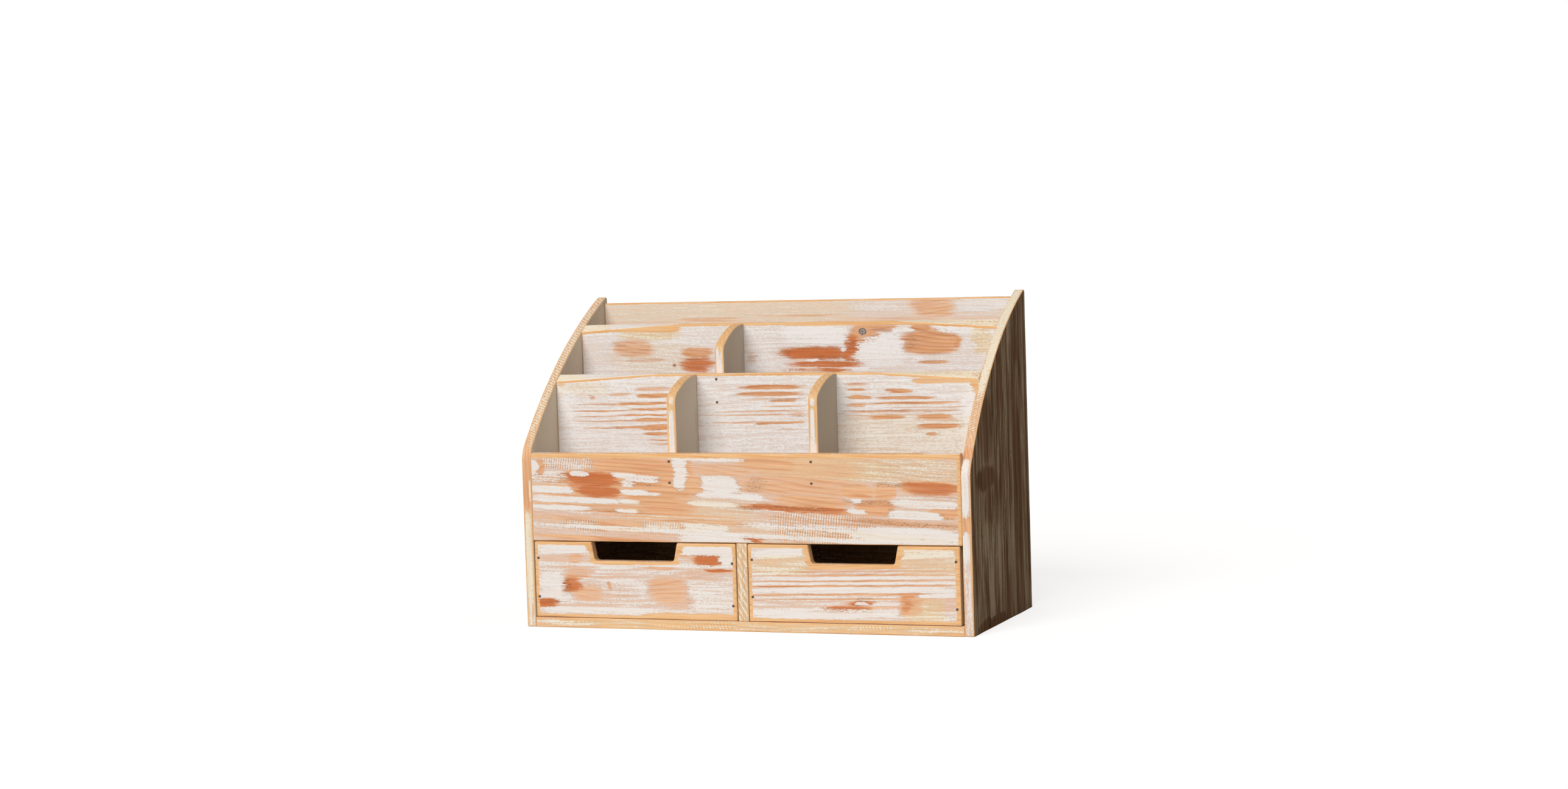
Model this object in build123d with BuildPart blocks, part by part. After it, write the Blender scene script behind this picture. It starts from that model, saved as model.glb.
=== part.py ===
from build123d import *
import os

# Envelope sorter with two drawers: three stepped rows of letter compartments over a pair of
# drawers, made of nailed softwood boards. Lengths are in millimetres. +X is to the right,
# +Y to the back and +Z up, with the origin in the middle of the base.

# ---------------------------------------------------------------- driving dimensions

overall_width = 406.0
overall_depth = 177.0
side_curve_top = 281.2            # where a side's curved edge would meet its back edge, 280 when rounded
board_ease = 0.8                  # sanded arris of every board

side_thickness = 8.3
front_panel_top = 152.0
left_curve_rise = 0.5             # the curved edge would meet the front edge this much over the front panel
left_curve_bulge = 12.5           # how far the curve stands out of a straight line
right_curve_drop = 14.0           # the two sides are cut by hand: the right one starts lower
right_curve_bulge = 18.5
curve_foot_radius = 22.0          # soft corner between the front edge and the curve
curve_top_radius = 2.5

back_thickness = 6.9
back_below_sides = 6.9            # top of the back panel under the top of the curve
bottom_thickness = 8.7
drawer_bay_height = 66.8          # clear height between the bottom board and the shelf
shelf_thickness = 8.3
partition_thickness = 9.4
partition_offset = -0.65          # middle of the partition from the middle of the sorter

front_panel_thickness = 8.3
front_panel_round = 2.4           # its top front arris is worn rounder than the others

tier_thickness = 8.3
front_tier_setback = 59.0         # front face of the panel behind the front of the sorter
front_tier_below_sides = 65.0     # its top under the top of the curve
rear_tier_setback = 117.2
rear_tier_below_sides = 24.2
tier_wear_drop = 6.0              # the top front arris is sanded down towards both ends
tier_wear_run = 92.0

divider_thickness = 8.3
front_left_divider_x = -64.6      # middle of each divider
front_right_divider_x = 64.0
rear_divider_x = -42.2
front_divider_drop = 16.2         # fall of the top edge from the panel behind to its front
rear_divider_drop = 18.5
divider_below_panel = 0.6         # its back end lies this much under the panel's top
divider_nose_radius = 8.0

drawer_recess = 0.3               # drawer front behind the front of the sorter
drawer_floor_gap = 0.3
drawer_head_gap = 0.5
drawer_back_gap = 1.8
left_drawer_gaps = (0.8, 0.95)    # clearance at the drawer's left and right
right_drawer_gaps = (0.6, 2.45)
drawer_front_thickness = 8.3
drawer_wall_thickness = 7.0
drawer_wall_drop = 3.0            # walls end this much under the top of the front
drawer_bottom_thickness = 4.0
notch_top_width = 79.6
notch_bottom_width = 73.3
notch_depth = 16.1
notch_corner_radius = 3.0
notch_lip_radius = 1.2

nail_length = 20.0
nail_shank_radius = 0.6
nail_tip_length = 1.5
nail_head_radius = 1.0
nail_head_thickness = 0.6
nail_set = 0.25                   # heads are driven this far under the surface
nail_clearance = 0.05

# nail places in a side board, each measured from the end of the board that is held
front_panel_low_nails = (7.0, 29.0)
front_panel_high_nail = 14.0
shelf_front_nails = (31.0, 92.0)          # behind the front of the sorter
shelf_back_nail = 20.1                    # in front of the back panel
bottom_front_nails = (13.0, 90.0)
bottom_back_nail = 12.1
front_tier_low_nails = (20.2, 79.2)       # above the shelf
front_tier_high_nail = 13.7               # under the panel's top
rear_tier_low_nails = (16.2, 58.7)
rear_tier_high_nail = 55.0
back_low_nails = (38.0, 101.5)
back_high_nails = (94.3, 22.3)

# nail places in the other boards
front_divider_nails = (25.3, 7.1)         # under the front panel's top
front_divider_back_low_nail = 28.2
front_divider_back_high_nail = 26.2
rear_divider_nails = (25.2, 5.2)          # under the front tier panel's top
rear_divider_back_low_nail = 36.2
rear_divider_back_high_nail = 32.0
partition_front_nails = (35.0, 95.0)
partition_back_nail = 25.1
back_panel_nail_offsets = (-120.0, -45.0, 45.0, 120.0)
drawer_wall_nail_rises = (17.0, 50.0)     # above the drawer's underside
drawer_bottom_nail_inset = 32.0           # from the drawer's front and back ends
left_drawer_nail_rises = ((17.7, 51.5), (12.8, 49.0))      # at its left and right wall
right_drawer_nail_rises = ((20.9, 52.6), (13.7, 53.3))

# ---------------------------------------------------------------- places that follow

front_y = -overall_depth / 2
back_y = overall_depth / 2
inner_left = -overall_width / 2 + side_thickness
inner_right = overall_width / 2 - side_thickness
back_panel_y = back_y - back_thickness
back_height = side_curve_top - back_below_sides
front_tier_top = side_curve_top - front_tier_below_sides
rear_tier_top = side_curve_top - rear_tier_below_sides
left_curve_start = front_panel_top + left_curve_rise
right_curve_start = front_panel_top - right_curve_drop
shelf_low = bottom_thickness + drawer_bay_height
shelf_top = shelf_low + shelf_thickness
front_panel_back_y = front_y + front_panel_thickness
front_tier_y = front_y + front_tier_setback
rear_tier_y = front_y + rear_tier_setback
partition_left = partition_offset - partition_thickness / 2
partition_right = partition_offset + partition_thickness / 2


# ---------------------------------------------------------------- nails

def brad(grow, mouth):
    """A headed nail driven along -Z from a surface at Z = 0. With its radii grown and its
    mouth opened above the surface, the same shape is the hole for it."""
    head_seat = -nail_set - nail_head_thickness - grow
    with BuildPart() as nail:
        with BuildSketch(Plane.XZ):
            with BuildLine():
                Polyline(
                    (0, mouth),
                    (nail_head_radius + grow, mouth),
                    (nail_head_radius + grow, head_seat),
                    (nail_shank_radius + grow, head_seat),
                    (nail_shank_radius + grow, nail_tip_length - nail_length),
                    (0, -nail_length - grow),
                    close=True,
                )
            make_face()
        revolve(axis=Axis.Z)
    return nail.part


nail = brad(0, -nail_set)
nail_hole = brad(nail_clearance, 1.0)


def driven(spots, outward):
    """The surface planes of nails at the given points, whose heads face outward."""
    return [Plane(origin=spot, z_dir=outward) for spot in spots]


def measured(low, lows, high, highs):
    """Nail places along a board: some measured up from its low end, some down from its high end."""
    return [low + step for step in lows] + [high - step for step in highs]


shelf_nail_ys = measured(front_y, shelf_front_nails, back_panel_y, [shelf_back_nail])
bottom_nail_ys = measured(front_y, bottom_front_nails, back_panel_y, [bottom_back_nail])
partition_nail_ys = measured(front_y, partition_front_nails, back_panel_y, [partition_back_nail])
front_panel_nail_zs = measured(shelf_low, front_panel_low_nails, front_panel_top, [front_panel_high_nail])
front_tier_nail_zs = measured(shelf_top, front_tier_low_nails, front_tier_top, [front_tier_high_nail])
rear_tier_nail_zs = measured(shelf_top, rear_tier_low_nails, rear_tier_top, [rear_tier_high_nail])
back_nail_zs = measured(0, back_low_nails, back_height, back_high_nails)

# nails through each side board, by the board that they hold
side_nail_spots = {
    "front_panel": [(front_y + front_panel_thickness / 2, z) for z in front_panel_nail_zs],
    "shelf": [(y, shelf_low + shelf_thickness / 2) for y in shelf_nail_ys],
    "front_tier": [(front_tier_y + tier_thickness / 2, z) for z in front_tier_nail_zs],
    "rear_tier": [(rear_tier_y + tier_thickness / 2, z) for z in rear_tier_nail_zs],
    "bottom": [(y, bottom_thickness / 2) for y in bottom_nail_ys],
    "back": [(back_y - back_thickness / 2, z) for z in back_nail_zs],
}


def side_nails(side, held_boards):
    """Nails driven inward through one side board: side is -1 on the left and 1 on the right."""
    spots = [spot for held in held_boards for spot in side_nail_spots[held]]
    return driven([(side * overall_width / 2, y, z) for y, z in spots], (side, 0, 0))


def both_sides(held):
    return side_nails(-1, [held]) + side_nails(1, [held])


front_divider_xs = (front_left_divider_x, front_right_divider_x)
divider_front_nails = {
    x: driven([(x, front_y, front_panel_top - drop) for drop in front_divider_nails], (0, -1, 0))
    for x in front_divider_xs
}
front_divider_back_zs = (shelf_top + front_divider_back_low_nail, front_tier_top - front_divider_back_high_nail)
divider_back_nails = {
    x: driven([(x, front_tier_y + tier_thickness, z) for z in front_divider_back_zs], (0, 1, 0))
    for x in front_divider_xs
}
rear_divider_front_nails = driven(
    [(rear_divider_x, front_tier_y, front_tier_top - drop) for drop in rear_divider_nails], (0, -1, 0)
)
rear_divider_back_zs = (shelf_top + rear_divider_back_low_nail, rear_tier_top - rear_divider_back_high_nail)
rear_divider_back_nails = driven(
    [(rear_divider_x, rear_tier_y + tier_thickness, z) for z in rear_divider_back_zs], (0, 1, 0)
)
partition_top_nails = driven([(partition_offset, y, shelf_top) for y in partition_nail_ys], (0, 0, 1))
partition_foot_nails = driven([(partition_offset, y, 0) for y in partition_nail_ys], (0, 0, -1))
back_to_shelf_nails = driven(
    [(x, back_y, shelf_low + shelf_thickness / 2) for x in back_panel_nail_offsets], (0, 1, 0)
)
back_to_bottom_nails = driven(
    [(x, back_y, bottom_thickness / 2) for x in back_panel_nail_offsets], (0, 1, 0)
)

pieces = {}


def keep_nails(name, planes):
    """One group of separate nails, written as one piece."""
    with BuildPart() as group:
        with Locations(*planes):
            add(nail)
    pieces[name] = group.part


# ---------------------------------------------------------------- boards

def straight_board(low, high):
    """A square-cut board between two opposite corners, with sanded arrises."""
    with BuildPart() as blank:
        with Locations(low):
            Box(*(Vector(*high) - Vector(*low)), align=(Align.MIN, Align.MIN, Align.MIN))
        fillet(blank.edges(), board_ease)
    return blank.part


def keep_board(name, blank, planes):
    """The board with its nail holes drilled."""
    with BuildPart() as board:
        add(blank)
        with Locations(*planes):
            add(nail_hole, mode=Mode.SUBTRACT)
    pieces[name] = board.part


def side_board(outer_x, curve_start, curve_bulge):
    """A side board: straight front edge, then one long curve up to the back corner."""
    with BuildPart() as blank:
        with BuildSketch(Plane.YZ.offset(min(outer_x, outer_x - side_thickness))) as outline:
            with BuildLine():
                Polyline((front_y, curve_start), (front_y, 0), (back_y, 0), (back_y, side_curve_top))
                SagittaArc((front_y, curve_start), (back_y, side_curve_top), curve_bulge)
            make_face()
            fillet(outline.vertices().sort_by(Axis.Y)[-2], curve_foot_radius)
            fillet(outline.vertices().sort_by(Axis.Y)[-1], curve_top_radius)
        extrude(amount=side_thickness)
        rims = blank.faces().sort_by(Axis.X)[0].edges() + blank.faces().sort_by(Axis.X)[-1].edges()
        corners = blank.edges().filter_by(Axis.X).group_by(Axis.Z)[0]
        fillet(rims + corners, board_ease)
    return blank.part


every_side_nail = list(side_nail_spots)
left_blank = side_board(inner_left, left_curve_start, left_curve_bulge)
right_blank = side_board(overall_width / 2, right_curve_start, right_curve_bulge)
keep_board("left_side", left_blank, side_nails(-1, every_side_nail))
keep_board("right_side", right_blank, side_nails(1, every_side_nail))

keep_board(
    "back_panel",
    straight_board((inner_left, back_panel_y, 0), (inner_right, back_y, back_height)),
    both_sides("back") + back_to_shelf_nails + back_to_bottom_nails,
)
keep_board(
    "bottom_board",
    straight_board((inner_left, front_y, 0), (inner_right, back_panel_y, bottom_thickness)),
    both_sides("bottom") + partition_foot_nails + back_to_bottom_nails,
)
keep_board(
    "drawer_shelf",
    straight_board((inner_left, front_panel_back_y, shelf_low), (inner_right, back_panel_y, shelf_top)),
    both_sides("shelf") + partition_top_nails + back_to_shelf_nails,
)
keep_board(
    "drawer_partition",
    straight_board(
        (partition_left, front_y, bottom_thickness), (partition_right, back_panel_y, shelf_low)
    ),
    partition_top_nails + partition_foot_nails,
)

# front panel: its top front arris is the one that hands rub
with BuildPart() as front_panel_blank:
    with BuildSketch(Plane.YZ.offset(inner_left)) as section:
        with Locations((front_y, shelf_low)):
            Rectangle(
                front_panel_thickness, front_panel_top - shelf_low, align=(Align.MIN, Align.MIN)
            )
        fillet(section.vertices().group_by(Axis.Y)[-1].sort_by(Axis.X)[0], front_panel_round)
    extrude(amount=inner_right - inner_left)
    ends = front_panel_blank.faces().filter_by(Axis.X).edges()
    long_arrises = front_panel_blank.edges().filter_by(Axis.X)
    sharp_arrises = long_arrises.group_by(Axis.Z)[0] + long_arrises.group_by(Axis.Z)[-1].sort_by(Axis.Y)[-1:]
    fillet(ends + sharp_arrises, board_ease)
keep_board(
    "front_panel",
    front_panel_blank.part,
    both_sides("front_panel")
    + divider_front_nails[front_left_divider_x]
    + divider_front_nails[front_right_divider_x],
)


def tier_panel(panel_y, top):
    """A panel behind a row of compartments, its top front arris sanded down to both ends."""
    with BuildPart() as blank:
        add(straight_board((inner_left, panel_y, shelf_top), (inner_right, panel_y + tier_thickness, top)))
        for end, inward in ((inner_left, 1), (inner_right, -1)):
            back_corner = Vector(end, panel_y + tier_thickness, top)
            front_corner = Vector(end, panel_y, top - tier_wear_drop)
            fade_point = Vector(end + inward * tier_wear_run, panel_y, top)
            slope = (fade_point - back_corner).cross(front_corner - back_corner) * -inward
            split(bisect_by=Plane(origin=back_corner, z_dir=slope), keep=Keep.BOTTOM)
    return blank.part


keep_board(
    "front_tier_panel",
    tier_panel(front_tier_y, front_tier_top),
    both_sides("front_tier")
    + rear_divider_front_nails
    + divider_back_nails[front_left_divider_x]
    + divider_back_nails[front_right_divider_x],
)
keep_board(
    "rear_tier_panel",
    tier_panel(rear_tier_y, rear_tier_top),
    both_sides("rear_tier") + rear_divider_back_nails,
)


def divider(middle_x, low_y, high_y, panel_top, drop):
    """A divider between two panels: upright front edge, round nose, top curving up to the back."""
    back_top = panel_top - divider_below_panel
    with BuildPart() as blank:
        with BuildSketch(Plane.YZ.offset(middle_x - divider_thickness / 2)) as outline:
            with BuildLine():
                Polyline((high_y, back_top), (high_y, shelf_top), (low_y, shelf_top), (low_y, panel_top - drop))
                TangentArc((high_y, back_top), (low_y, panel_top - drop), tangent=(-1, 0))
            make_face()
            fillet(outline.vertices().sort_by(Axis.Y)[-2], divider_nose_radius)
        extrude(amount=divider_thickness)
        rims = blank.faces().sort_by(Axis.X)[0].edges() + blank.faces().sort_by(Axis.X)[-1].edges()
        fillet(rims, board_ease)
    return blank.part


for name, middle_x in zip(("front_left_divider", "front_right_divider"), front_divider_xs):
    keep_board(
        name,
        divider(middle_x, front_panel_back_y, front_tier_y, front_tier_top, front_divider_drop),
        divider_front_nails[middle_x] + divider_back_nails[middle_x],
    )
keep_board(
    "rear_divider",
    divider(rear_divider_x, front_tier_y + tier_thickness, rear_tier_y, rear_tier_top, rear_divider_drop),
    rear_divider_front_nails + rear_divider_back_nails,
)

keep_nails("left_side_nails", side_nails(-1, every_side_nail))
keep_nails("right_side_nails", side_nails(1, every_side_nail))
keep_nails("front_panel_nails", [p for planes in divider_front_nails.values() for p in planes])
keep_nails(
    "tier_panel_nails",
    [p for planes in divider_back_nails.values() for p in planes]
    + rear_divider_front_nails
    + rear_divider_back_nails,
)
keep_nails("partition_nails", partition_top_nails + partition_foot_nails)
keep_nails("back_panel_nails", back_to_shelf_nails + back_to_bottom_nails)

# ---------------------------------------------------------------- drawers

def notched_front(left, right, face_y, low, top):
    """A drawer front with a finger notch, wider at its mouth, cut into the top edge."""
    middle = (left + right) / 2
    with BuildPart() as blank:
        with BuildSketch(Plane.XZ.offset(-face_y)) as outline:
            with BuildLine():
                Polyline(
                    (left, low),
                    (right, low),
                    (right, top),
                    (middle + notch_top_width / 2, top),
                    (middle + notch_bottom_width / 2, top - notch_depth),
                    (middle - notch_bottom_width / 2, top - notch_depth),
                    (middle - notch_top_width / 2, top),
                    (left, top),
                    close=True,
                )
            make_face()
            fillet(outline.vertices().group_by(Axis.Y)[1], notch_corner_radius)
            fillet(outline.vertices().group_by(Axis.Y)[-1].sort_by(Axis.X)[1:3], notch_lip_radius)
        extrude(amount=-drawer_front_thickness)
        rims = blank.faces().sort_by(Axis.Y)[0].edges() + blank.faces().sort_by(Axis.Y)[-1].edges()
        outer = blank.edges().filter_by(Axis.Y)
        corners = outer.group_by(Axis.X)[0] + outer.group_by(Axis.X)[-1]
        fillet(rims + corners, board_ease)
    return blank.part


def keep_drawer(name, left, right, nail_rises):
    """Front, two walls, back and bottom of one drawer, with the nails that hold them."""
    low = bottom_thickness + drawer_floor_gap
    top = shelf_low - drawer_head_gap
    wall_top = top - drawer_wall_drop
    face_y = front_y + drawer_recess
    wall_y = face_y + drawer_front_thickness
    end_y = back_panel_y - drawer_back_gap
    back_board_y = end_y - drawer_wall_thickness
    left_wall = left + drawer_wall_thickness
    right_wall = right - drawer_wall_thickness
    wall_middles = (left + drawer_wall_thickness / 2, right - drawer_wall_thickness / 2)

    front_nails = [
        driven([(x, face_y, low + rise) for rise in rises], (0, -1, 0))
        for x, rises in zip(wall_middles, nail_rises)
    ]
    back_spots = [(end_y - drawer_wall_thickness / 2, low + rise) for rise in drawer_wall_nail_rises]
    bottom_ys = (face_y + drawer_bottom_nail_inset, (face_y + end_y) / 2, end_y - drawer_bottom_nail_inset)
    bottom_spots = [(y, low + drawer_bottom_thickness / 2) for y in bottom_ys]
    back_nails = [
        driven([(x, y, z) for y, z in back_spots], (side, 0, 0)) for x, side in ((left, -1), (right, 1))
    ]
    bottom_nails = [
        driven([(x, y, z) for y, z in bottom_spots], (side, 0, 0)) for x, side in ((left, -1), (right, 1))
    ]

    keep_board(
        name + "_front",
        notched_front(left, right, face_y, low, top),
        front_nails[0] + front_nails[1],
    )
    keep_board(
        name + "_left_wall",
        straight_board((left, wall_y, low), (left_wall, end_y, wall_top)),
        front_nails[0] + back_nails[0] + bottom_nails[0],
    )
    keep_board(
        name + "_right_wall",
        straight_board((right_wall, wall_y, low), (right, end_y, wall_top)),
        front_nails[1] + back_nails[1] + bottom_nails[1],
    )
    keep_board(
        name + "_back",
        straight_board((left_wall, back_board_y, low), (right_wall, end_y, wall_top)),
        back_nails[0] + back_nails[1],
    )
    keep_board(
        name + "_bottom",
        straight_board((left_wall, wall_y, low), (right_wall, back_board_y, low + drawer_bottom_thickness)),
        bottom_nails[0] + bottom_nails[1],
    )
    keep_nails(name + "_nails", [p for nails in front_nails + back_nails + bottom_nails for p in nails])


keep_drawer(
    "left_drawer",
    inner_left + left_drawer_gaps[0],
    partition_left - left_drawer_gaps[1],
    left_drawer_nail_rises,
)
keep_drawer(
    "right_drawer",
    partition_right + right_drawer_gaps[0],
    inner_right - right_drawer_gaps[1],
    right_drawer_nail_rises,
)

# ---------------------------------------------------------------- files

os.makedirs("parts", exist_ok=True)
for name, piece in pieces.items():
    piece.label = name
    export_step(piece, f"parts/{name}.step")
print(len(pieces), "pieces written")
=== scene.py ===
import math

import bmesh
import bpy
from mathutils import Matrix, Vector, noise
from mathutils.geometry import delaunay_2d_cdt


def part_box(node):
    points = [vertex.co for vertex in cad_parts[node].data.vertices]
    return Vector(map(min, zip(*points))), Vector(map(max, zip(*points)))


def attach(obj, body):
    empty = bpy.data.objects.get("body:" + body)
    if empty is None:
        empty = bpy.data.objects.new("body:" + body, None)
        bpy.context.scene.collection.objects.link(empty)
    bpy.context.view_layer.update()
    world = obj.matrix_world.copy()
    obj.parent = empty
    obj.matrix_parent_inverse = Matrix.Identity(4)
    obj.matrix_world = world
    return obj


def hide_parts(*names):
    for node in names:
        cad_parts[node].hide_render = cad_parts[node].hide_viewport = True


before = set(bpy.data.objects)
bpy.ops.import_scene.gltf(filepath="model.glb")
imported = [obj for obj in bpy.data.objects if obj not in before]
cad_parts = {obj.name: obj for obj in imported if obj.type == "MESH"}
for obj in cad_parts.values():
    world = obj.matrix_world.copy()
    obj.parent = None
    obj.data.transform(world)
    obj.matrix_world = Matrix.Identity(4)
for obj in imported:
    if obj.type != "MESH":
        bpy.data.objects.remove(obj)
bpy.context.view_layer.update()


mm = 0.001  # boards below are drawn in millimetres
scene = bpy.context.scene
scene.view_settings.view_transform = "Standard"
print("frame loaded:", len(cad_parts), "nodes")

# camera: placed and turned as the photograph was taken
cameraSettings = {
    "place": (0.91195, -2.41773, 0.36884),
    "turnLeft": 0.357439,
    "tilt": -0.067112,
    "roll": 0.030694,
    "lens": 68.24,
}


def placeCamera(settings):
    data = bpy.data.cameras.new("photoCamera")
    data.lens = settings["lens"]
    data.sensor_width = 36
    data.clip_start = 0.01
    data.clip_end = 100
    camera = bpy.data.objects.new("photoCamera", data)
    scene.collection.objects.link(camera)
    turn = Matrix.Rotation(settings["turnLeft"], 4, "Z") @ Matrix.Rotation(settings["tilt"], 4, "X")
    turn = turn @ Matrix.Rotation(settings["roll"], 4, "Y") @ Matrix.Rotation(math.pi / 2, 4, "X")
    camera.matrix_world = Matrix.Translation(settings["place"]) @ turn
    scene.camera = camera


placeCamera(cameraSettings)


# small helpers for node trees
def feed(tree, node, values):
    for socket, value in zip(node.inputs, values):
        if isinstance(value, bpy.types.NodeSocket):
            tree.links.new(value, socket)
        elif value is not None:
            socket.default_value = value


def calc(tree, operation, *values):
    node = tree.nodes.new("ShaderNodeMath")
    node.operation = operation
    feed(tree, node, values)
    return node.outputs[0]


def vectorCalc(tree, operation, *values):
    node = tree.nodes.new("ShaderNodeVectorMath")
    node.operation = operation
    feed(tree, node, values)
    return node.outputs["Value" if operation in ("LENGTH", "DOT_PRODUCT") else "Vector"]


def fade(tree, value, start, end, low=0.0, high=1.0):
    node = tree.nodes.new("ShaderNodeMapRange")
    node.interpolation_type = "SMOOTHSTEP"
    feed(tree, node, (value, start, end, low, high))
    return node.outputs[0]


def split(tree, vector):
    node = tree.nodes.new("ShaderNodeSeparateXYZ")
    tree.links.new(vector, node.inputs[0])
    return node.outputs[0], node.outputs[1], node.outputs[2]


def combine(tree, *values):
    node = tree.nodes.new("ShaderNodeCombineXYZ")
    feed(tree, node, values)
    return node.outputs[0]


def blendColour(tree, share, first, second, how="MIX"):
    node = tree.nodes.new("ShaderNodeMix")
    node.data_type = "RGBA"
    node.blend_type = how
    for index, value in ((0, share), (6, first), (7, second)):
        if isinstance(value, bpy.types.NodeSocket):
            tree.links.new(value, node.inputs[index])
        else:
            node.inputs[index].default_value = value
    return node.outputs[2]


def grainNoise(tree, place, stretch, seed, detail=2.0, rough=0.55):
    # noise drawn out along the board: stretch is in waves per millimetre
    moved = vectorCalc(tree, "MULTIPLY_ADD", place, stretch, (seed * 7.31, seed * 3.17, seed * 1.73))
    node = tree.nodes.new("ShaderNodeTexNoise")
    tree.links.new(moved, node.inputs["Vector"])
    node.inputs["Scale"].default_value = 1.0
    node.inputs["Detail"].default_value = detail
    node.inputs["Roughness"].default_value = rough
    return node


def colour(red, green, blue):
    # a colour picked as 0-255 on screen, as the linear value that Blender wants
    def linear(value):
        value /= 255
        return value / 12.92 if value <= 0.04045 else ((value + 0.055) / 1.055) ** 2.4

    return (linear(red), linear(green), linear(blue), 1.0)


# lights and world
lightSettings = {
    "keyFrom": (-0.13, -0.82, 0.50),
    "keyStrength": 2.45,
    "keySoftness": 0.7,
    "keyColour": (0.97, 1.0, 1.0),
    "shade": (0.30, 0.27, 0.23, 1),
    "background": (1, 1, 1, 1),
}


def cameraSees(tree):
    # rays that should meet the white studio: straight to the camera, in a gloss or through glass
    path = tree.nodes.new("ShaderNodeLightPath")
    seen = calc(tree, "MAXIMUM", path.outputs["Is Camera Ray"], path.outputs["Is Glossy Ray"])
    return calc(tree, "MAXIMUM", seen, path.outputs["Is Transmission Ray"])


def placeLights(settings):
    data = bpy.data.lights.new("keyLight", "SUN")
    data.energy = settings["keyStrength"]
    data.angle = settings["keySoftness"]
    data.color = settings["keyColour"]
    lamp = bpy.data.objects.new("keyLight", data)
    scene.collection.objects.link(lamp)
    lamp.matrix_world = Vector(settings["keyFrom"]).to_track_quat("Z", "Y").to_matrix().to_4x4()
    world = bpy.data.worlds.new("studioWorld")
    scene.world = world
    world.use_nodes = True
    tree = world.node_tree
    tree.nodes.clear()
    output = tree.nodes.new("ShaderNodeOutputWorld")
    background = tree.nodes.new("ShaderNodeBackground")
    shown = blendColour(tree, cameraSees(tree), settings["shade"], settings["background"])
    tree.links.new(shown, background.inputs["Color"])
    tree.links.new(background.outputs[0], output.inputs["Surface"])


placeLights(lightSettings)

# floor: pale, white to the camera but with the sorter's shadow kept
floorSettings = {
    "size": 24.0,
    "paint": (0.52, 0.50, 0.47, 1),
    "shown": (0.40, 0.40, 0.40, 1),
    "lift": 0.76,
}


def makeFloor(settings):
    mesh = bpy.data.meshes.new("studioFloor")
    half = settings["size"] / 2
    corners = [(-half, -half, 0), (half, -half, 0), (half, half, 0), (-half, half, 0)]
    mesh.from_pydata(corners, [], [(0, 1, 2, 3)])
    floor = bpy.data.objects.new("studioFloor", mesh)
    scene.collection.objects.link(floor)
    material = bpy.data.materials.new("floorPaint")
    material.use_nodes = True
    tree = material.node_tree
    tree.nodes.clear()
    output = tree.nodes.new("ShaderNodeOutputMaterial")
    matte = tree.nodes.new("ShaderNodeBsdfDiffuse")
    glow = tree.nodes.new("ShaderNodeEmission")
    both = tree.nodes.new("ShaderNodeAddShader")
    seen = cameraSees(tree)
    tone = blendColour(tree, seen, settings["paint"], settings["shown"])
    tree.links.new(tone, matte.inputs["Color"])
    tree.links.new(calc(tree, "MULTIPLY", seen, settings["lift"]), glow.inputs["Strength"])
    tree.links.new(matte.outputs[0], both.inputs[0])
    tree.links.new(glow.outputs[0], both.inputs[1])
    tree.links.new(both.outputs[0], output.inputs["Surface"])
    mesh.materials.append(material)


makeFloor(floorSettings)
print("camera, lights and floor placed")

# node groups that the wood finishes share
socketTypes = {"value": "NodeSocketFloat", "vector": "NodeSocketVector", "colour": "NodeSocketColor"}


def startGroup(name, inputs, outputs):
    group = bpy.data.node_groups.new(name, "ShaderNodeTree")
    for label, kind in inputs:
        group.interface.new_socket(name=label, in_out="INPUT", socket_type=socketTypes[kind])
    for label, kind in outputs:
        group.interface.new_socket(name=label, in_out="OUTPUT", socket_type=socketTypes[kind])
    entry = group.nodes.new("NodeGroupInput")
    leave = group.nodes.new("NodeGroupOutput")
    return group, entry.outputs, leave.inputs


def useGroup(tree, name, **values):
    # place a group; the words in a socket's name are run together as camelCase here
    node = tree.nodes.new("ShaderNodeGroup")
    node.node_tree = bpy.data.node_groups[name]
    for socket in node.inputs:
        key = socket.name[0].lower() + socket.name[1:].replace(" ", "")
        value = values.get(key)
        if isinstance(value, bpy.types.NodeSocket):
            tree.links.new(value, socket)
        elif value is not None:
            socket.default_value = value
    return node.outputs


def makeWoodFigure():
    # sawn softwood: year rings as long lines, fine fibres and slow clouds of colour
    group, given, result = startGroup(
        "woodFigure",
        [("Place", "vector"), ("Seed", "value"), ("Ring Spacing", "value")],
        [("Rings", "value"), ("Fibres", "value"), ("Clouds", "value")],
    )
    shift = vectorCalc(group, "SCALE", (5.3, 3.1, 7.7))
    group.links.new(given["Seed"], shift.node.inputs["Scale"])
    place = vectorCalc(group, "ADD", given["Place"], shift)
    wander = grainNoise(group, place, (0.005, 0.018, 0.02), 1.0, 1.5)
    along, across, depth = split(group, place)
    reach = calc(group, "MULTIPLY_ADD", wander.outputs[0], 46.0, across)
    reach = calc(group, "MULTIPLY_ADD", depth, 0.6, reach)
    turn = calc(group, "FRACT", calc(group, "DIVIDE", reach, given["Ring Spacing"]))
    late = calc(group, "MULTIPLY", fade(group, turn, 0.35, 0.93), fade(group, turn, 1.0, 0.94))
    fibres = grainNoise(group, place, (0.035, 1.5, 1.5), 2.0, 3.0, 0.6)
    clouds = grainNoise(group, place, (0.011, 0.045, 0.05), 3.0, 2.0)
    group.links.new(late, result["Rings"])
    group.links.new(fibres.outputs[0], result["Fibres"])
    group.links.new(clouds.outputs[0], result["Clouds"])


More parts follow.
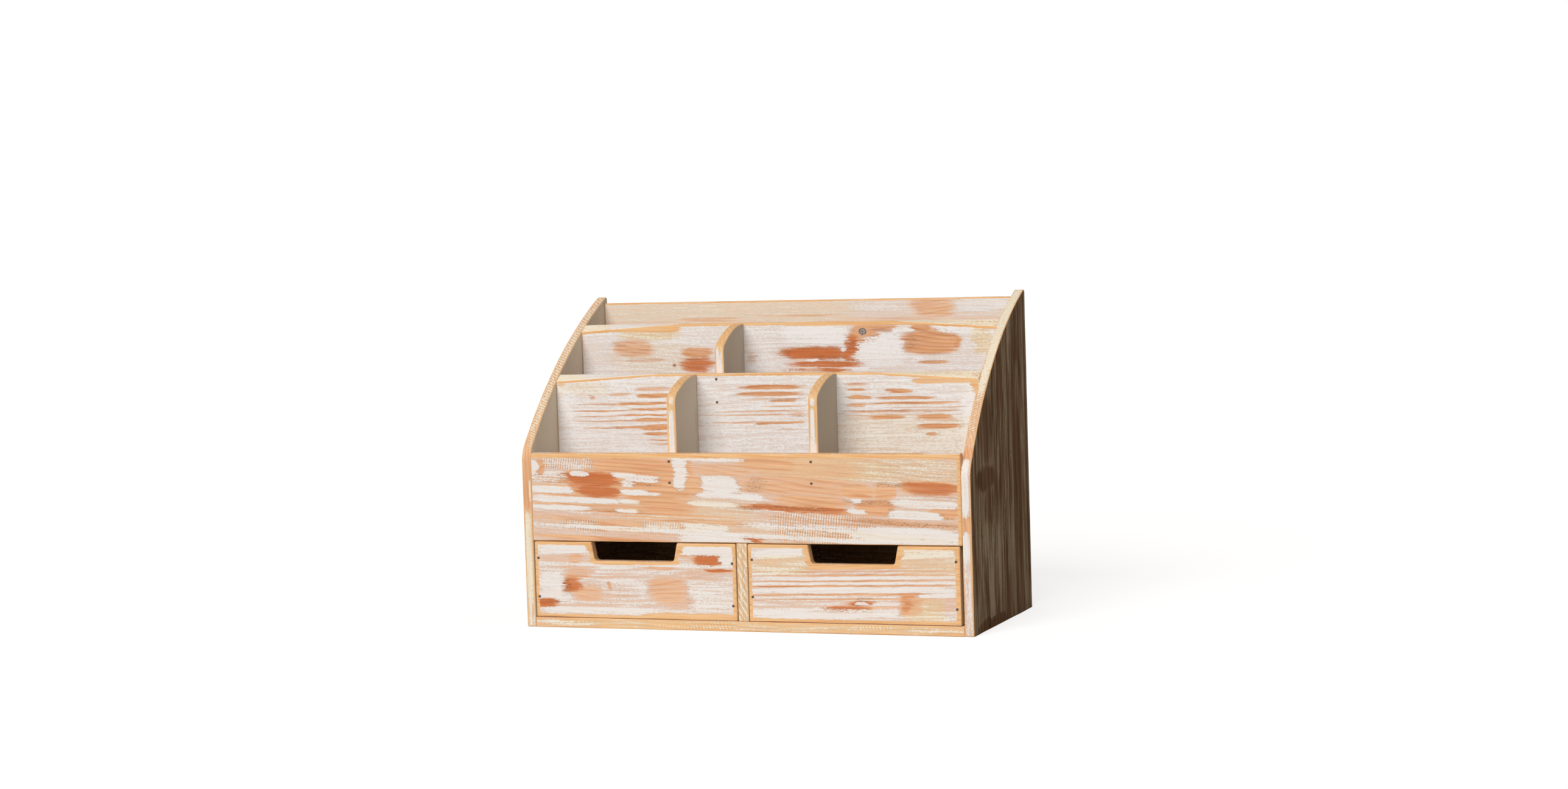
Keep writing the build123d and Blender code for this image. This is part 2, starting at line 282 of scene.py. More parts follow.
def makeRaggedPlace():
    # pulls a place about in long streaks, so that whatever is drawn with it gets brushed edges
    group, given, result = startGroup(
        "raggedPlace",
        [("Place", "vector"), ("Reach", "vector"), ("Seed", "value")],
        [("Place", "vector")],
    )
    shift = vectorCalc(group, "SCALE", (3.9, 8.3, 2.1))
    group.links.new(given["Seed"], shift.node.inputs["Scale"])
    place = vectorCalc(group, "ADD", given["Place"], shift)
    streaks = grainNoise(group, place, (0.09, 0.8, 0.3), 4.0, 5.0, 0.7)
    drift = grainNoise(group, place, (0.03, 0.11, 0.1), 8.0, 3.0, 0.6)
    pull = vectorCalc(group, "ADD", streaks.outputs["Color"], drift.outputs["Color"])
    pull = vectorCalc(group, "SUBTRACT", pull, (1.0, 1.0, 1.0))
    pulled = vectorCalc(group, "MULTIPLY_ADD", pull, given["Reach"], given["Place"])
    group.links.new(pulled, result["Place"])


def makeWearSpot():
    # one patch with the shape of a blunt brush mark
    group, given, result = startGroup(
        "wearSpot",
        [("Place", "vector"), ("Centre", "vector"), ("Half Size", "vector"),
         ("Softness", "value"), ("Amount", "value"), ("Roundness", "value")],
        [("Mask", "value")],
    )
    away = vectorCalc(group, "SUBTRACT", given["Place"], given["Centre"])
    away = vectorCalc(group, "DIVIDE", away, given["Half Size"])
    oval = vectorCalc(group, "DOT_PRODUCT", away, away)
    away = vectorCalc(group, "MULTIPLY", away, away)
    blunt = vectorCalc(group, "DOT_PRODUCT", away, away)
    reach = calc(group, "MULTIPLY_ADD", calc(group, "SUBTRACT", oval, blunt), given["Roundness"], blunt)
    outer = calc(group, "ADD", 1.0, given["Softness"])
    inner = calc(group, "SUBTRACT", 1.0, given["Softness"])
    group.links.new(fade(group, reach, outer, inner, 0.0, given["Amount"]), result["Mask"])


def makeRimBand():
    # 0 at a board's arrises and 1 where the worn band along each of them ends
    group, given, result = startGroup(
        "rimBand",
        [("Place", "vector"), ("Low", "vector"), ("High", "vector"), ("Low Width", "vector"),
         ("High Width", "vector"), ("Corner Drop", "value"), ("Corner Run", "value")],
        [("Band", "value")],
    )
    along, across, depth = split(group, given["Place"])
    lowAlong, lowAcross, unused = split(group, given["Low"])
    highAlong, highAcross, unused = split(group, given["High"])
    fromLow = calc(group, "SUBTRACT", along, lowAlong)
    fromHigh = calc(group, "SUBTRACT", highAlong, along)
    nearest = calc(group, "MINIMUM", fromLow, fromHigh)
    sunk = calc(group, "SUBTRACT", 1.0, calc(group, "DIVIDE", nearest, given["Corner Run"]))
    sunk = calc(group, "MULTIPLY", calc(group, "MAXIMUM", sunk, 0.0), given["Corner Drop"])
    fromTop = calc(group, "SUBTRACT", calc(group, "SUBTRACT", highAcross, sunk), across)
    fromFoot = calc(group, "SUBTRACT", across, lowAcross)
    lowEnd, foot, unused = split(group, given["Low Width"])
    highEnd, top, unused = split(group, given["High Width"])
    pairs = ((fromLow, lowEnd, fromHigh, highEnd), (fromFoot, foot, fromTop, top))
    sides, ends = (
        calc(group, "SMOOTH_MIN", calc(group, "DIVIDE", a, wideA), calc(group, "DIVIDE", b, wideB), 0.7)
        for a, wideA, b, wideB in pairs
    )
    group.links.new(calc(group, "SMOOTH_MIN", sides, ends, 0.9), result["Band"])


def makeSawMarks():
    # the marks a coarse blade leaves: Direction points across them, one length of it per mark
    group, given, result = startGroup(
        "sawMarks",
        [("Place", "vector"), ("Direction", "vector"), ("Seed", "value")],
        [("Grooves", "value")],
    )
    count = vectorCalc(group, "DOT_PRODUCT", given["Place"], given["Direction"])
    drift = grainNoise(group, given["Place"], (0.03, 0.05, 0.05), 5.0, 2.0)
    count = calc(group, "MULTIPLY_ADD", drift.outputs[0], 1.6, calc(group, "ADD", count, given["Seed"]))
    wave = calc(group, "SINE", calc(group, "MULTIPLY", count, 2 * math.pi))
    broken = grainNoise(group, given["Place"], (0.16, 0.3, 0.3), 6.0, 2.0)
    wave = calc(group, "MULTIPLY_ADD", broken.outputs[0], 2.4, calc(group, "ADD", wave, -1.2))
    group.links.new(fade(group, wave, -0.1, 0.8), result["Grooves"])


def makePaintFilm():
    # whitewash in two layers: Wash is the thin milky coat, Thick the white flakes that still stand on it
    # and Border the broken dark line round the flakes, a painted shadow along their edges
    group, given, result = startGroup(
        "paintFilm",
        [("Cover", "value"), ("Flakes", "value"), ("Streaks", "value"), ("Streak Reach", "value"),
         ("Crumbs", "value"), ("Crumb Reach", "value")],
        [("Wash", "value"), ("Thick", "value"), ("Border", "value")],
    )
    streaks = calc(group, "MULTIPLY", calc(group, "SUBTRACT", given["Streaks"], 0.5), given["Streak Reach"])
    crumbs = calc(group, "MULTIPLY", calc(group, "SUBTRACT", given["Crumbs"], 0.5), given["Crumb Reach"])
    thin = calc(group, "MULTIPLY_ADD", crumbs, 0.25, given["Cover"])
    thin = calc(group, "MULTIPLY_ADD", streaks, 0.9, thin)
    level = calc(group, "ADD", calc(group, "MULTIPLY_ADD", streaks, 1.0, given["Flakes"]), crumbs)
    border = calc(group, "MULTIPLY", fade(group, level, 0.26, 0.42), fade(group, level, 0.58, 0.46))
    broken = fade(group, given["Crumbs"], 0.46, 0.58)
    group.links.new(fade(group, thin, 0.08, 0.86), result["Wash"])
    group.links.new(fade(group, level, 0.42, 0.62), result["Thick"])
    group.links.new(calc(group, "MULTIPLY", border, broken), result["Border"])


def makeKnotMark():
    # a small tight knot: its own rings inside and a stained halo outside
    group, given, result = startGroup(
        "knotMark",
        [("Place", "vector"), ("Centre", "vector"), ("Radius", "value")],
        [("Knot", "value"), ("Halo", "value"), ("Rings", "value")],
    )
    away = vectorCalc(group, "SUBTRACT", given["Place"], given["Centre"])
    away = vectorCalc(group, "MULTIPLY", away, (0.85, 1.0, 0.0))
    rough = grainNoise(group, given["Place"], (0.5, 0.5, 0.5), 7.0, 2.0)
    reach = calc(group, "DIVIDE", vectorCalc(group, "LENGTH", away), given["Radius"])
    reach = calc(group, "MULTIPLY_ADD", rough.outputs[0], 0.6, calc(group, "SUBTRACT", reach, 0.3))
    rings = calc(group, "SINE", calc(group, "MULTIPLY", reach, 11.0))
    group.links.new(fade(group, reach, 1.1, 0.9), result["Knot"])
    group.links.new(fade(group, reach, 2.6, 0.9), result["Halo"])
    group.links.new(fade(group, rings, -0.2, 0.9), result["Rings"])


for makeGroup in (
    makeWoodFigure, makeRaggedPlace, makeWearSpot, makeRimBand, makeSawMarks, makePaintFilm, makeKnotMark,
):
    makeGroup()
print("node groups made:", len(bpy.data.node_groups))

# the finishes: worn whitewash over orange softwood
# A face is drawn in its own flat frame: "axes" names the directions along the grain, across it and
# into the board, and "origin" is the point that the places of its spots are measured from.
# A spot is (from, to, low, high, amount) in millimetres.
washColours = {
    "woodPale": colour(237, 186, 144),
    "woodDark": colour(218, 146, 98),
    "deepWood": colour(200, 104, 48),
    "paint": colour(238, 234, 232),
    "thinPaint": colour(234, 206, 190),
    "cream": colour(242, 232, 212),
    "thinCream": colour(236, 208, 172),
    "rim": colour(240, 194, 142),
    "rimDark": colour(228, 168, 112),
    # border: painted shadow along the flakes' edges, also the colour of the dark flecks
    "border": colour(108, 66, 46),
    "stain": colour(70, 48, 38),
    "knot": colour(168, 152, 142),
    "knotDark": colour(112, 96, 88),
}
faceDefaults = {
    "axes": "xzy",
    "origin": (0, 0, 0),
    "low": (-1000, -1000),  # where the board's arrises are, measured from the origin
    "high": (1000, 1000),
    "rim": (2.0, 2.0, 2.0, 2.0),  # width of the worn band at the low and high end, foot and top
    "rimRoughness": 0.8,
    "cornerDrop": 0.0,
    "cornerRun": 90.0,
    "slope": 0.0,  # how far the grain climbs per millimetre
    "seed": 1.0,
    "ringSpacing": 4.5,
    "paint": 0.74,  # how milky the thin wash is
    "flakes": 0.42,  # how much thick white still stands
    "wear": 0.72,  # how much a bare spot takes off
    "bareEdge": 0.9,  # how softly it ends
    "streaks": 1.0,  # how much the long streaks break up the wash
    "streakScale": 1.0,  # more makes them finer
    "crumbs": 1.6,  # how crumbly the flakes' edges are
    "clouds": 0.0,  # bare clouds that no spot names
    "reach": (13.0, 2.4, 0.0),  # how far a brush mark strays, in millimetres
    "darkBorders": 0.85,  # the painted shadow line round the flakes
    "saw": (0.45, 0.06, 0.0),  # points across the blade marks, in marks per millimetre
    "sawDepth": 0.5,
    # shade darkens the whole colour: painted shade for faces that stand in shade
    "shade": 1.0,
    "roughness": 0.68,
    "shine": 0.22,
    "bump": 0.55,
    "colours": {},
    "spots": {},
    "knots": (),  # each is ((along, across), radius)
    "nails": (),
}

# how each kind of spot is drawn: the place it is drawn with, its softness and its roundness
spotLooks = {
    "bare": ("brushed", None, 0.5),  # each face gives its own softness, as bareEdge
    "deep": ("strayed", 0.85, 0.7),
    "white": ("brushed", 0.8, 0.2),
    "cream": ("strayed", 0.9, 0.0),
    "dark": ("strayed", 0.8, 0.5),
    "honey": ("brushed", 0.25, 0.0),
    "saw": ("brushed", 0.6, 0.0),
}


def spotMask(tree, place, rows, slope, softness, roundness=0.0):
    total = None
    for start, end, low, high, amount in rows:
        middle = (start + end) / 2
        spot = useGroup(
            tree, "wearSpot", place=place, centre=(middle, (low + high) / 2 - slope * middle, 0.0),
            halfSize=((end - start) / 2, (high - low) / 2, 1.0),
            softness=softness, amount=amount, roundness=roundness,
        )["Mask"]
        total = spot if total is None else calc(tree, "MAXIMUM", total, spot)
    return total


def boardPlaces(tree, chosen):
    # where on the board, in millimetres along the grain, across it and into the wood
    spot = tree.nodes.new("ShaderNodeTexCoord").outputs["Object"]
    moved = tuple(-value for value in chosen["origin"])
    spot = vectorCalc(tree, "MULTIPLY_ADD", spot, (1000, 1000, 1000), moved)
    parts = dict(zip("xyz", split(tree, spot)))
    along, across, depth = (parts[axis] for axis in chosen["axes"])
    level = calc(tree, "MULTIPLY_ADD", along, -chosen["slope"], across)
    grain = combine(tree, along, level, 0.0)
    seed = chosen["seed"]
    wide = tuple(value * 1.9 for value in chosen["reach"])
    return {
        "flat": combine(tree, along, across, 0.0),
        "solid": combine(tree, along, level, depth),
        "brushed": useGroup(tree, "raggedPlace", place=grain, reach=chosen["reach"], seed=seed)["Place"],
        "strayed": useGroup(tree, "raggedPlace", place=grain, reach=wide, seed=seed + 9)["Place"],
    }


def readFace(tree, chosen):
    # the settings with all that the layers of a finish are drawn from
    places = boardPlaces(tree, chosen)
    masks = {}
    for kind, rows in chosen["spots"].items():
        place, softness, roundness = spotLooks[kind]
        if kind == "bare":
            softness = chosen["bareEdge"]
        masks[kind] = spotMask(tree, places[place], rows, chosen["slope"], softness, roundness)
    seed, solid = chosen["seed"], places["solid"]
    streakWaves = (0.016, 0.62 * chosen["streakScale"], 0.4)
    return {
        **chosen,
        "tones": {**washColours, **chosen["colours"]},
        "places": places,
        "masks": masks,
        "figure": useGroup(tree, "woodFigure", place=solid, seed=seed, ringSpacing=chosen["ringSpacing"]),
        "streakNoise": grainNoise(tree, solid, streakWaves, seed + 11, 4.0, 0.62).outputs[0],
        "crumbNoise": grainNoise(tree, solid, (0.42, 1.1, 0.8), seed + 23, 4.0, 0.72).outputs[0],
    }


def drawWood(tree, face):
    # pale and dark rings under fine fibres, stained where the wear went deep
    figure, tones, masks = face["figure"], face["tones"], face["masks"]
    clouds = calc(tree, "MULTIPLY_ADD", figure["Clouds"], 1.3, -0.5)
    rings = calc(tree, "MULTIPLY_ADD", figure["Rings"], 0.55, clouds)
    rings = calc(tree, "MINIMUM", calc(tree, "MAXIMUM", rings, 0.0), 1.0)
    wood = blendColour(tree, rings, tones["woodPale"], tones["woodDark"])
    if "deep" in masks:
        stained = calc(tree, "SUBTRACT", face["streakNoise"], 0.5)
        stained = calc(tree, "MULTIPLY_ADD", stained, 1.1, masks["deep"])
        wood = blendColour(tree, fade(tree, stained, 0.15, 1.0, 0.0, 0.86), wood, tones["deepWood"])
    fibreTone = fade(tree, figure["Fibres"], 0.3, 0.7, 0.86, 1.06)
    return blendColour(tree, 1.0, wood, combine(tree, fibreTone, fibreTone, fibreTone), "MULTIPLY")


def drawGrooves(tree, face):
    if "saw" not in face["masks"]:
        return None
    marks = useGroup(
        tree, "sawMarks", place=face["places"]["flat"], direction=face["saw"], seed=face["seed"],
    )["Grooves"]
    return calc(tree, "MULTIPLY", marks, face["masks"]["saw"])


def drawCover(tree, face, grooves):
    # how much of the wash is left: the spots, clouds and blade marks take it away
    figure, masks = face["figure"], face["masks"]
    cover = calc(tree, "MULTIPLY_ADD", masks.get("bare", 0.0), -face["wear"], face["paint"])
    cover = calc(tree, "MULTIPLY_ADD", calc(tree, "SUBTRACT", figure["Fibres"], 0.5), 0.5, cover)
    if "deep" in masks:
        cover = calc(tree, "SUBTRACT", cover, masks["deep"])
    if face["clouds"]:
        waves = (0.012, 0.05, 0.05)
        patches = grainNoise(tree, face["places"]["brushed"], waves, face["seed"] + 31, 2.0).outputs[0]
        cover = calc(tree, "SUBTRACT", cover, fade(tree, patches, 0.55, 0.68, 0.0, face["clouds"]))
    if grooves is not None:
        cover = calc(tree, "MULTIPLY_ADD", grooves, -face["sawDepth"], cover)
    return cover


def drawFilm(tree, face, cover):
    # the thin wash, the thick flakes on it and their border
    masks = face["masks"]
    flakes = calc(tree, "SUBTRACT", cover, face["paint"])
    flakes = calc(tree, "MULTIPLY_ADD", flakes, 0.9, face["flakes"])
    flakes = calc(tree, "MULTIPLY_ADD", face["figure"]["Rings"], -0.16, flakes)
    if "white" in masks:
        missing = calc(tree, "SUBTRACT", 0.84, flakes)
        flakes = calc(tree, "MULTIPLY_ADD", missing, masks["white"], flakes)
    if "dark" in masks:
        flakes = calc(tree, "MULTIPLY_ADD", masks["dark"], 0.12, flakes)
    return useGroup(
        tree, "paintFilm", cover=cover, flakes=flakes,
        streaks=face["streakNoise"], streakReach=face["streaks"],
        crumbs=face["crumbNoise"], crumbReach=face["crumbs"],
    )


def paintOver(tree, face, wood, film):
    masks, tones, crumbNoise = face["masks"], face["tones"], face["crumbNoise"]
    thin, thick = tones["thinPaint"], tones["paint"]
    if "cream" in masks:
        thin = blendColour(tree, masks["cream"], thin, tones["thinCream"])
        thick = blendColour(tree, masks["cream"], thick, tones["cream"])
    surface = blendColour(tree, calc(tree, "MULTIPLY", film["Wash"], 0.9), wood, thin)
    # painted shadow along the edges of the thick flakes, stronger where white spots are
    edging = calc(tree, "MULTIPLY_ADD", masks.get("white", 0.0), 0.75, 0.25)
    edging = calc(tree, "MULTIPLY", edging, face["darkBorders"])
    border = calc(tree, "MULTIPLY", film["Border"], edging)
    if "dark" in masks:
        flecks = calc(tree, "MULTIPLY", masks["dark"], fade(tree, crumbNoise, 0.5, 0.62, 0.12, 0.85))
        border = calc(tree, "MAXIMUM", border, flecks)
    surface = blendColour(tree, border, surface, tones["border"])
    waves = (0.03, 0.9, 0.6)
    uneven = grainNoise(tree, face["places"]["solid"], waves, face["seed"] + 57, 3.0, 0.6).outputs[0]
    thick = blendColour(tree, fade(tree, uneven, 0.42, 0.74, 0.0, 0.55), thick, thin)
    return blendColour(tree, calc(tree, "MULTIPLY", film["Thick"], 0.94), surface, thick)


def drawRim(tree, face):
    # the worn band along the arrises, and the honey spots that belong to it
    flat = face["places"]["flat"]
    lowEnd, highEnd, foot, top = face["rim"]
    roughness = face["rimRoughness"]
    ragged = grainNoise(tree, flat, (0.16, 0.16, 0.1), face["seed"] + 41, 3.0, 0.6).outputs[0]
    band = useGroup(
        tree, "rimBand", place=flat, low=(*face["low"], 0), high=(*face["high"], 0),
        lowWidth=(lowEnd, foot, 1), highWidth=(highEnd, top, 1),
        cornerDrop=face["cornerDrop"], cornerRun=face["cornerRun"],
    )["Band"]
    band = calc(tree, "MULTIPLY_ADD", ragged, roughness, calc(tree, "SUBTRACT", band, roughness / 2))
    rim = fade(tree, band, 1.04, 0.88)
    if "honey" in face["masks"]:
        rim = calc(tree, "MAXIMUM", rim, face["masks"]["honey"])
    return rim


def drawKnots(tree, face, surface):
    tones = face["tones"]
    for place, radius in face["knots"]:
        knot = useGroup(tree, "knotMark", place=face["places"]["flat"], centre=(*place, 0), radius=radius)
        surface = blendColour(tree, calc(tree, "MULTIPLY", knot["Halo"], 0.7), surface, tones["woodPale"])
        knotTone = blendColour(tree, knot["Rings"], tones["knot"], tones["knotDark"])
        surface = blendColour(tree, knot["Knot"], surface, knotTone)
    return surface


def drawNailStains(tree, face, surface):
    if not face["nails"]:
        return surface
    halfWide, halfHigh = 1.2, 1.1
    rows = [(u - halfWide, u + halfWide, v - halfHigh, v + halfHigh, 0.6) for u, v in face["nails"]]
    stain = spotMask(tree, face["places"]["flat"], rows, 0.0, 0.6)
    return blendColour(tree, stain, surface, face["tones"]["stain"])


def drawRelief(tree, face, film, rim, grooves):
    # the paint film stands on the wood, rings and fibres are scrubbed out, blade marks are cut in
    height = calc(tree, "MULTIPLY_ADD", film["Wash"], 0.3, film["Thick"])
    height = calc(tree, "MULTIPLY", height, calc(tree, "SUBTRACT", 1.0, rim))
    height = calc(tree, "MULTIPLY_ADD", face["figure"]["Rings"], 0.45, height)
    height = calc(tree, "MULTIPLY_ADD", face["figure"]["Fibres"], 0.5, height)
    height = calc(tree, "MULTIPLY_ADD", face["crumbNoise"], 0.35, height)
    if grooves is not None:
        height = calc(tree, "MULTIPLY_ADD", grooves, -0.8, height)
    relief = tree.nodes.new("ShaderNodeBump")
    relief.inputs["Strength"].default_value = face["bump"]
    relief.inputs["Distance"].default_value = 0.22 * mm
    tree.links.new(height, relief.inputs["Height"])
    return relief.outputs[0]


def woodFinish(name, settings):
    material = bpy.data.materials.new(name)
    material.use_nodes = True
    tree = material.node_tree
    shader = tree.nodes["Principled BSDF"]
    face = readFace(tree, {**faceDefaults, **settings})
    tones = face["tones"]
    grooves = drawGrooves(tree, face)
    film = drawFilm(tree, face, drawCover(tree, face, grooves))
    surface = paintOver(tree, face, drawWood(tree, face), film)
    rim = drawRim(tree, face)
    rimTone = blendColour(tree, fade(tree, face["streakNoise"], 0.38, 0.66), tones["rim"], tones["rimDark"])
    surface = blendColour(tree, rim, surface, rimTone)
    surface = drawNailStains(tree, face, drawKnots(tree, face, surface))
    # painted shade: the colour is darkened by the face's shade value
    if face["shade"] != 1.0:
        surface = blendColour(tree, 1.0, surface, (*[face["shade"]] * 3, 1), "MULTIPLY")
    tree.links.new(surface, shader.inputs["Base Color"])
    tree.links.new(drawRelief(tree, face, film, rim, grooves), shader.inputs["Normal"])
    rough = fade(tree, film["Wash"], 0.0, 1.0, face["roughness"] - 0.1, face["roughness"] + 0.06)
    tree.links.new(rough, shader.inputs["Roughness"])
    shader.inputs["Specular IOR Level"].default_value = face["shine"]
    return material


def nailSteel():
    material = bpy.data.materials.new("nailSteel")
    material.use_nodes = True
    tree = material.node_tree
    shader = tree.nodes["Principled BSDF"]
    place = vectorCalc(tree, "SCALE", tree.nodes.new("ShaderNodeTexCoord").outputs["Object"])
    place.node.inputs["Scale"].default_value = 1000
    rust = grainNoise(tree, place, (1.6, 1.6, 1.6), 3.0, 3.0).outputs[0]
    tone = blendColour(tree, fade(tree, rust, 0.4, 0.62), colour(92, 88, 84), colour(88, 52, 34))
    tree.links.new(tone, shader.inputs["Base Color"])
    tree.links.new(fade(tree, rust, 0.35, 0.65, 0.85, 0.15), shader.inputs["Metallic"])
    tree.links.new(fade(tree, rust, 0.35, 0.65, 0.42, 0.8), shader.inputs["Roughness"])
    relief = tree.nodes.new("ShaderNodeBump")
    relief.inputs["Distance"].default_value = 0.1 * mm
    tree.links.new(rust, relief.inputs["Height"])
    tree.links.new(relief.outputs[0], shader.inputs["Normal"])
    return material


# outlines of boards: points with the way inward, run anticlockwise
def smoothPoint(place, inward):
    return {"place": Vector(place), "inward": Vector(inward).normalized(), "corner": None}


def sharedRun(first, last, step):
    # evenly spaced points between two outline points, the ends left out
    way = last["place"] - first["place"]
    count = max(1, round(way.length / step))
    inward = Vector((-way.y, way.x))
    places = (first["place"].lerp(last["place"], index / count) for index in range(1, count))
    return [smoothPoint(place, inward) for place in places]


def roundedOutline(corners, step=5.0):
    # corners are (along, up, radius); mitre is where two edges meet when both are set in by 1 mm
    bends = []
    for index, (along, up, radius) in enumerate(corners):
        here = Vector((along, up))
        arrive = (here - Vector(corners[index - 1][:2])).normalized()
        leave = (Vector(corners[(index + 1) % len(corners)][:2]) - here).normalized()
        angle = math.atan2(arrive.cross(leave), arrive.dot(leave))
        reach = radius * math.tan(abs(angle) / 2)
        left = Vector((-arrive.y, arrive.x))
        nextLeft = Vector((-leave.y, leave.x))
        mitre = (left + nextLeft) / (1 + left.dot(nextLeft))
        side = 1 if angle > 0 else -1
        centre = here - arrive * reach + left * radius * side
        count = max(2, math.ceil(abs(angle) / 0.35))
        bend = []
        for turn in range(count + 1):
            inward = Matrix.Rotation(angle * turn / count, 2) @ left
            point = smoothPoint(centre - inward * radius * side, inward)
            if side > 0:
                point["corner"] = (here, mitre, radius)
            bend.append(point)
        bends.append(bend)
    points = []
    for index, bend in enumerate(bends):
        points += bend
        points += sharedRun(bend[-1], bends[(index + 1) % len(bends)][0], step)
    return points


def sweepPoints(middle, radius, start, end, count, corner=None):
    points = []
    for index in range(count + 1):
        angle = start + (end - start) * index / count
        outward = Vector((math.cos(angle), math.sin(angle)))
        point = smoothPoint(middle + outward * radius, -outward)
        if corner:
            point["corner"] = (corner, (middle - corner) / radius, radius)
        points.append(point)
    return points


def curvedOutline(front, back, foot, centre, radius, footRound, topRound, step=5.0):
    # square below, with one long arc from the front edge up to the back edge
    centre = Vector(centre)
    rounding = 1.0
    above = foot + 40  # any height: only the two corners at the foot are kept
    square = roundedOutline([
        (front, foot, rounding), (back, foot, rounding), (back, above, rounding), (front, above, rounding),
    ], step)
    low = [point for point in square if point["place"].y < foot + rounding + 0.01]
    frontFoot = [point for point in low if point["place"].x < front + rounding + 0.01]
    backFoot = [point for point in low if point["place"].x >= front + rounding + 0.01]

    def tangentCentre(along, bend):
        rise = math.sqrt((radius - bend) ** 2 - (along - centre.x) ** 2)
        return Vector((along, centre.y + rise))

    def angleTo(place):
        return math.atan2(place.y - centre.y, place.x - centre.x)

    topCentre = tangentCentre(back - topRound, topRound)
    footCentre = tangentCentre(front + footRound, footRound)
    topAngle, footAngle = angleTo(topCentre), angleTo(footCentre)
    peak = Vector((back, centre.y + math.sqrt(radius ** 2 - (back - centre.x) ** 2)))
    arcSteps = max(6, round(abs(footAngle - topAngle) * radius / step))
    points = frontFoot + backFoot
    points += sharedRun(backFoot[-1], smoothPoint((back, topCentre.y), (-1, 0)), step)
    points += sweepPoints(topCentre, topRound, 0.0, topAngle, 6, peak)
    points += sweepPoints(centre, radius, topAngle, footAngle, arcSteps)
    points += sweepPoints(footCentre, footRound, footAngle, math.pi, 8)
    points += sharedRun(points[-1], frontFoot[0], step)
    return dropDoubles(points)


def dropDoubles(points):
    nearest = 0.02
    kept = []
    for point in points:
        if not kept or (point["place"] - kept[-1]["place"]).length > nearest:
            kept.append(point)
    if (kept[0]["place"] - kept[-1]["place"]).length < nearest:
        kept.pop()
    return kept


def insetFrom(point, inset):
    if point["corner"] and inset > point["corner"][2]:
        here, mitre, radius = point["corner"]
        return here + mitre * inset
    return point["place"] + point["inward"] * inset


# boards
boardDefaults = {
    "plane": "xz",
    "arris": 0.75,
    "topFrontArris": None,  # a rounder top front arris
    "leastArris": 0.3,
    "uneven": 0.56,  # how much hand sanding changes the arris along its length
    "sandingWaves": 0.045,  # and how often, per millimetre
    "waver": 0.16,  # how far the outline strays inward
    "waverWaves": 0.03,
    "flatStep": 0.9,  # a flat margin inside the arris, so that the face shades flat
    "edgeStep": 0.5,  # the same on the edge
    "cornerDrop": 0.0,  # how far the top front edge is worn down at the board's ends
    "cornerRun": 90.0,
    "cornerFade": 20.0,  # how far below the top that still shows
    "seed": 0.0,
}
nailRecess = {
    "points": 14, "lip": 1.12, "uneven": 0.16, "wall": 1.06, "depth": 0.8, "headSunk": 0.25, "headWide": 2.6,
}
planeAxes = {"xz": (0, 2, 1), "yz": (1, 2, 0), "xy": (0, 1, 2)}
nailNodes = [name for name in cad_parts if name.endswith("_nails")]


def nodeBox(node):
    low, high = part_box(node)
    return [value / mm for value in low], [value / mm for value in high]


def faceLevel(node, plane, outward):
    low, high = nodeBox(node)
    return (high if outward > 0 else low)[planeAxes[plane][2]]


def nailHeads(node, plane, outward):
    # centres of the nails whose heads lie just under one face of a board
    axisA, axisB, axisC = planeAxes[plane]
    low, high = nodeBox(node)
    wanted = faceLevel(node, plane, outward) - outward * nailRecess["headSunk"]
    found = []
    for name in nailNodes:
        groups = []
        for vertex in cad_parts[name].data.vertices:
            spot = vertex.co / mm
            if abs(spot[axisC] - wanted) > 0.06:
                continue
            if not (low[axisA] < spot[axisA] < high[axisA] and low[axisB] < spot[axisB] < high[axisB]):
                continue
            flat = Vector((spot[axisA], spot[axisB]))
            near = [group for group in groups if (group[0] - flat).length < nailRecess["headWide"]]
            if near:
                near[0].append(flat)
            else:
                groups.append([flat])
        for group in groups:
            lowest = Vector((min(p.x for p in group), min(p.y for p in group)))
            highest = Vector((max(p.x for p in group), max(p.y for p in group)))
            if len(group) > 5:
                found.append((lowest + highest) / 2)
    return found


def boardPoint(board, a, b, c):
    # from the board's own a along, b up and c through it to a place in metres
    if board["cornerDrop"]:
        lowA, unused, lowC = board["low"]
        highA, top, highC = board["high"]
        ends = min(a - lowA, highA - a)
        drop = board["cornerDrop"] * max(0.0, 1 - ends / board["cornerRun"])
        b -= drop * (highC - c) / (highC - lowC) * max(0.0, 1 - (top - b) / board["cornerFade"])
    place = [0.0, 0.0, 0.0]
    for axis, value in zip(planeAxes[board["plane"]], (a, b, c)):
        place[axis] = value * mm
    return place


def arrisSize(board, place, side):
    waves = board["sandingWaves"]
    point = Vector((place.x * waves, place.y * waves, board["seed"] * 3.7 + side * 11.3))
    size = board["arris"] * (1 + board["uneven"] * noise.noise(point))
    if side == 0 and board["topFrontArris"] and place.y > board["high"][1] - 1.5:
        size = board["topFrontArris"] * (1 + 0.25 * noise.noise(point * 0.7))
    return max(board["leastArris"], size)


def makeRing(mesh, board, outline, side, kind):
    # kind is "flat" for the margin on the face, 0 to 3 round the arris, or "edge" for the one beyond it
    touching = 0.004 * mm
    waves = board["waverWaves"]
    ring = []
    for point in outline:
        place = point["corner"][0] if point["corner"] else point["place"]
        size = arrisSize(board, place, side)
        wave = noise.noise(Vector((place.x * waves, place.y * waves, board["seed"] * 5.1 + 2)))
        stray = max(0.0, board["waver"] * (0.5 + wave))
        if kind == "flat":
            inset, sink = size + board["flatStep"], 0.0
        elif kind == "edge":
            inset, sink = 0.0, size + board["edgeStep"]
        else:
            angle = kind / 3 * math.pi / 2
            inset, sink = size * (1 - math.sin(angle)), size * (1 - math.cos(angle))
        spot = insetFrom(point, stray + inset)
        level = board["low"][2] + sink if side == 0 else board["high"][2] - sink
        here = Vector(boardPoint(board, spot.x, spot.y, level))
        # points that meet at a square corner share one vertex
        if ring and (here - ring[-1].co).length < touching:
            ring.append(ring[-1])
        elif len(ring) > len(outline) - 4 and (here - ring[0].co).length < touching:
            ring.append(ring[0])
        else:
            ring.append(mesh.verts.new(here))
    return ring


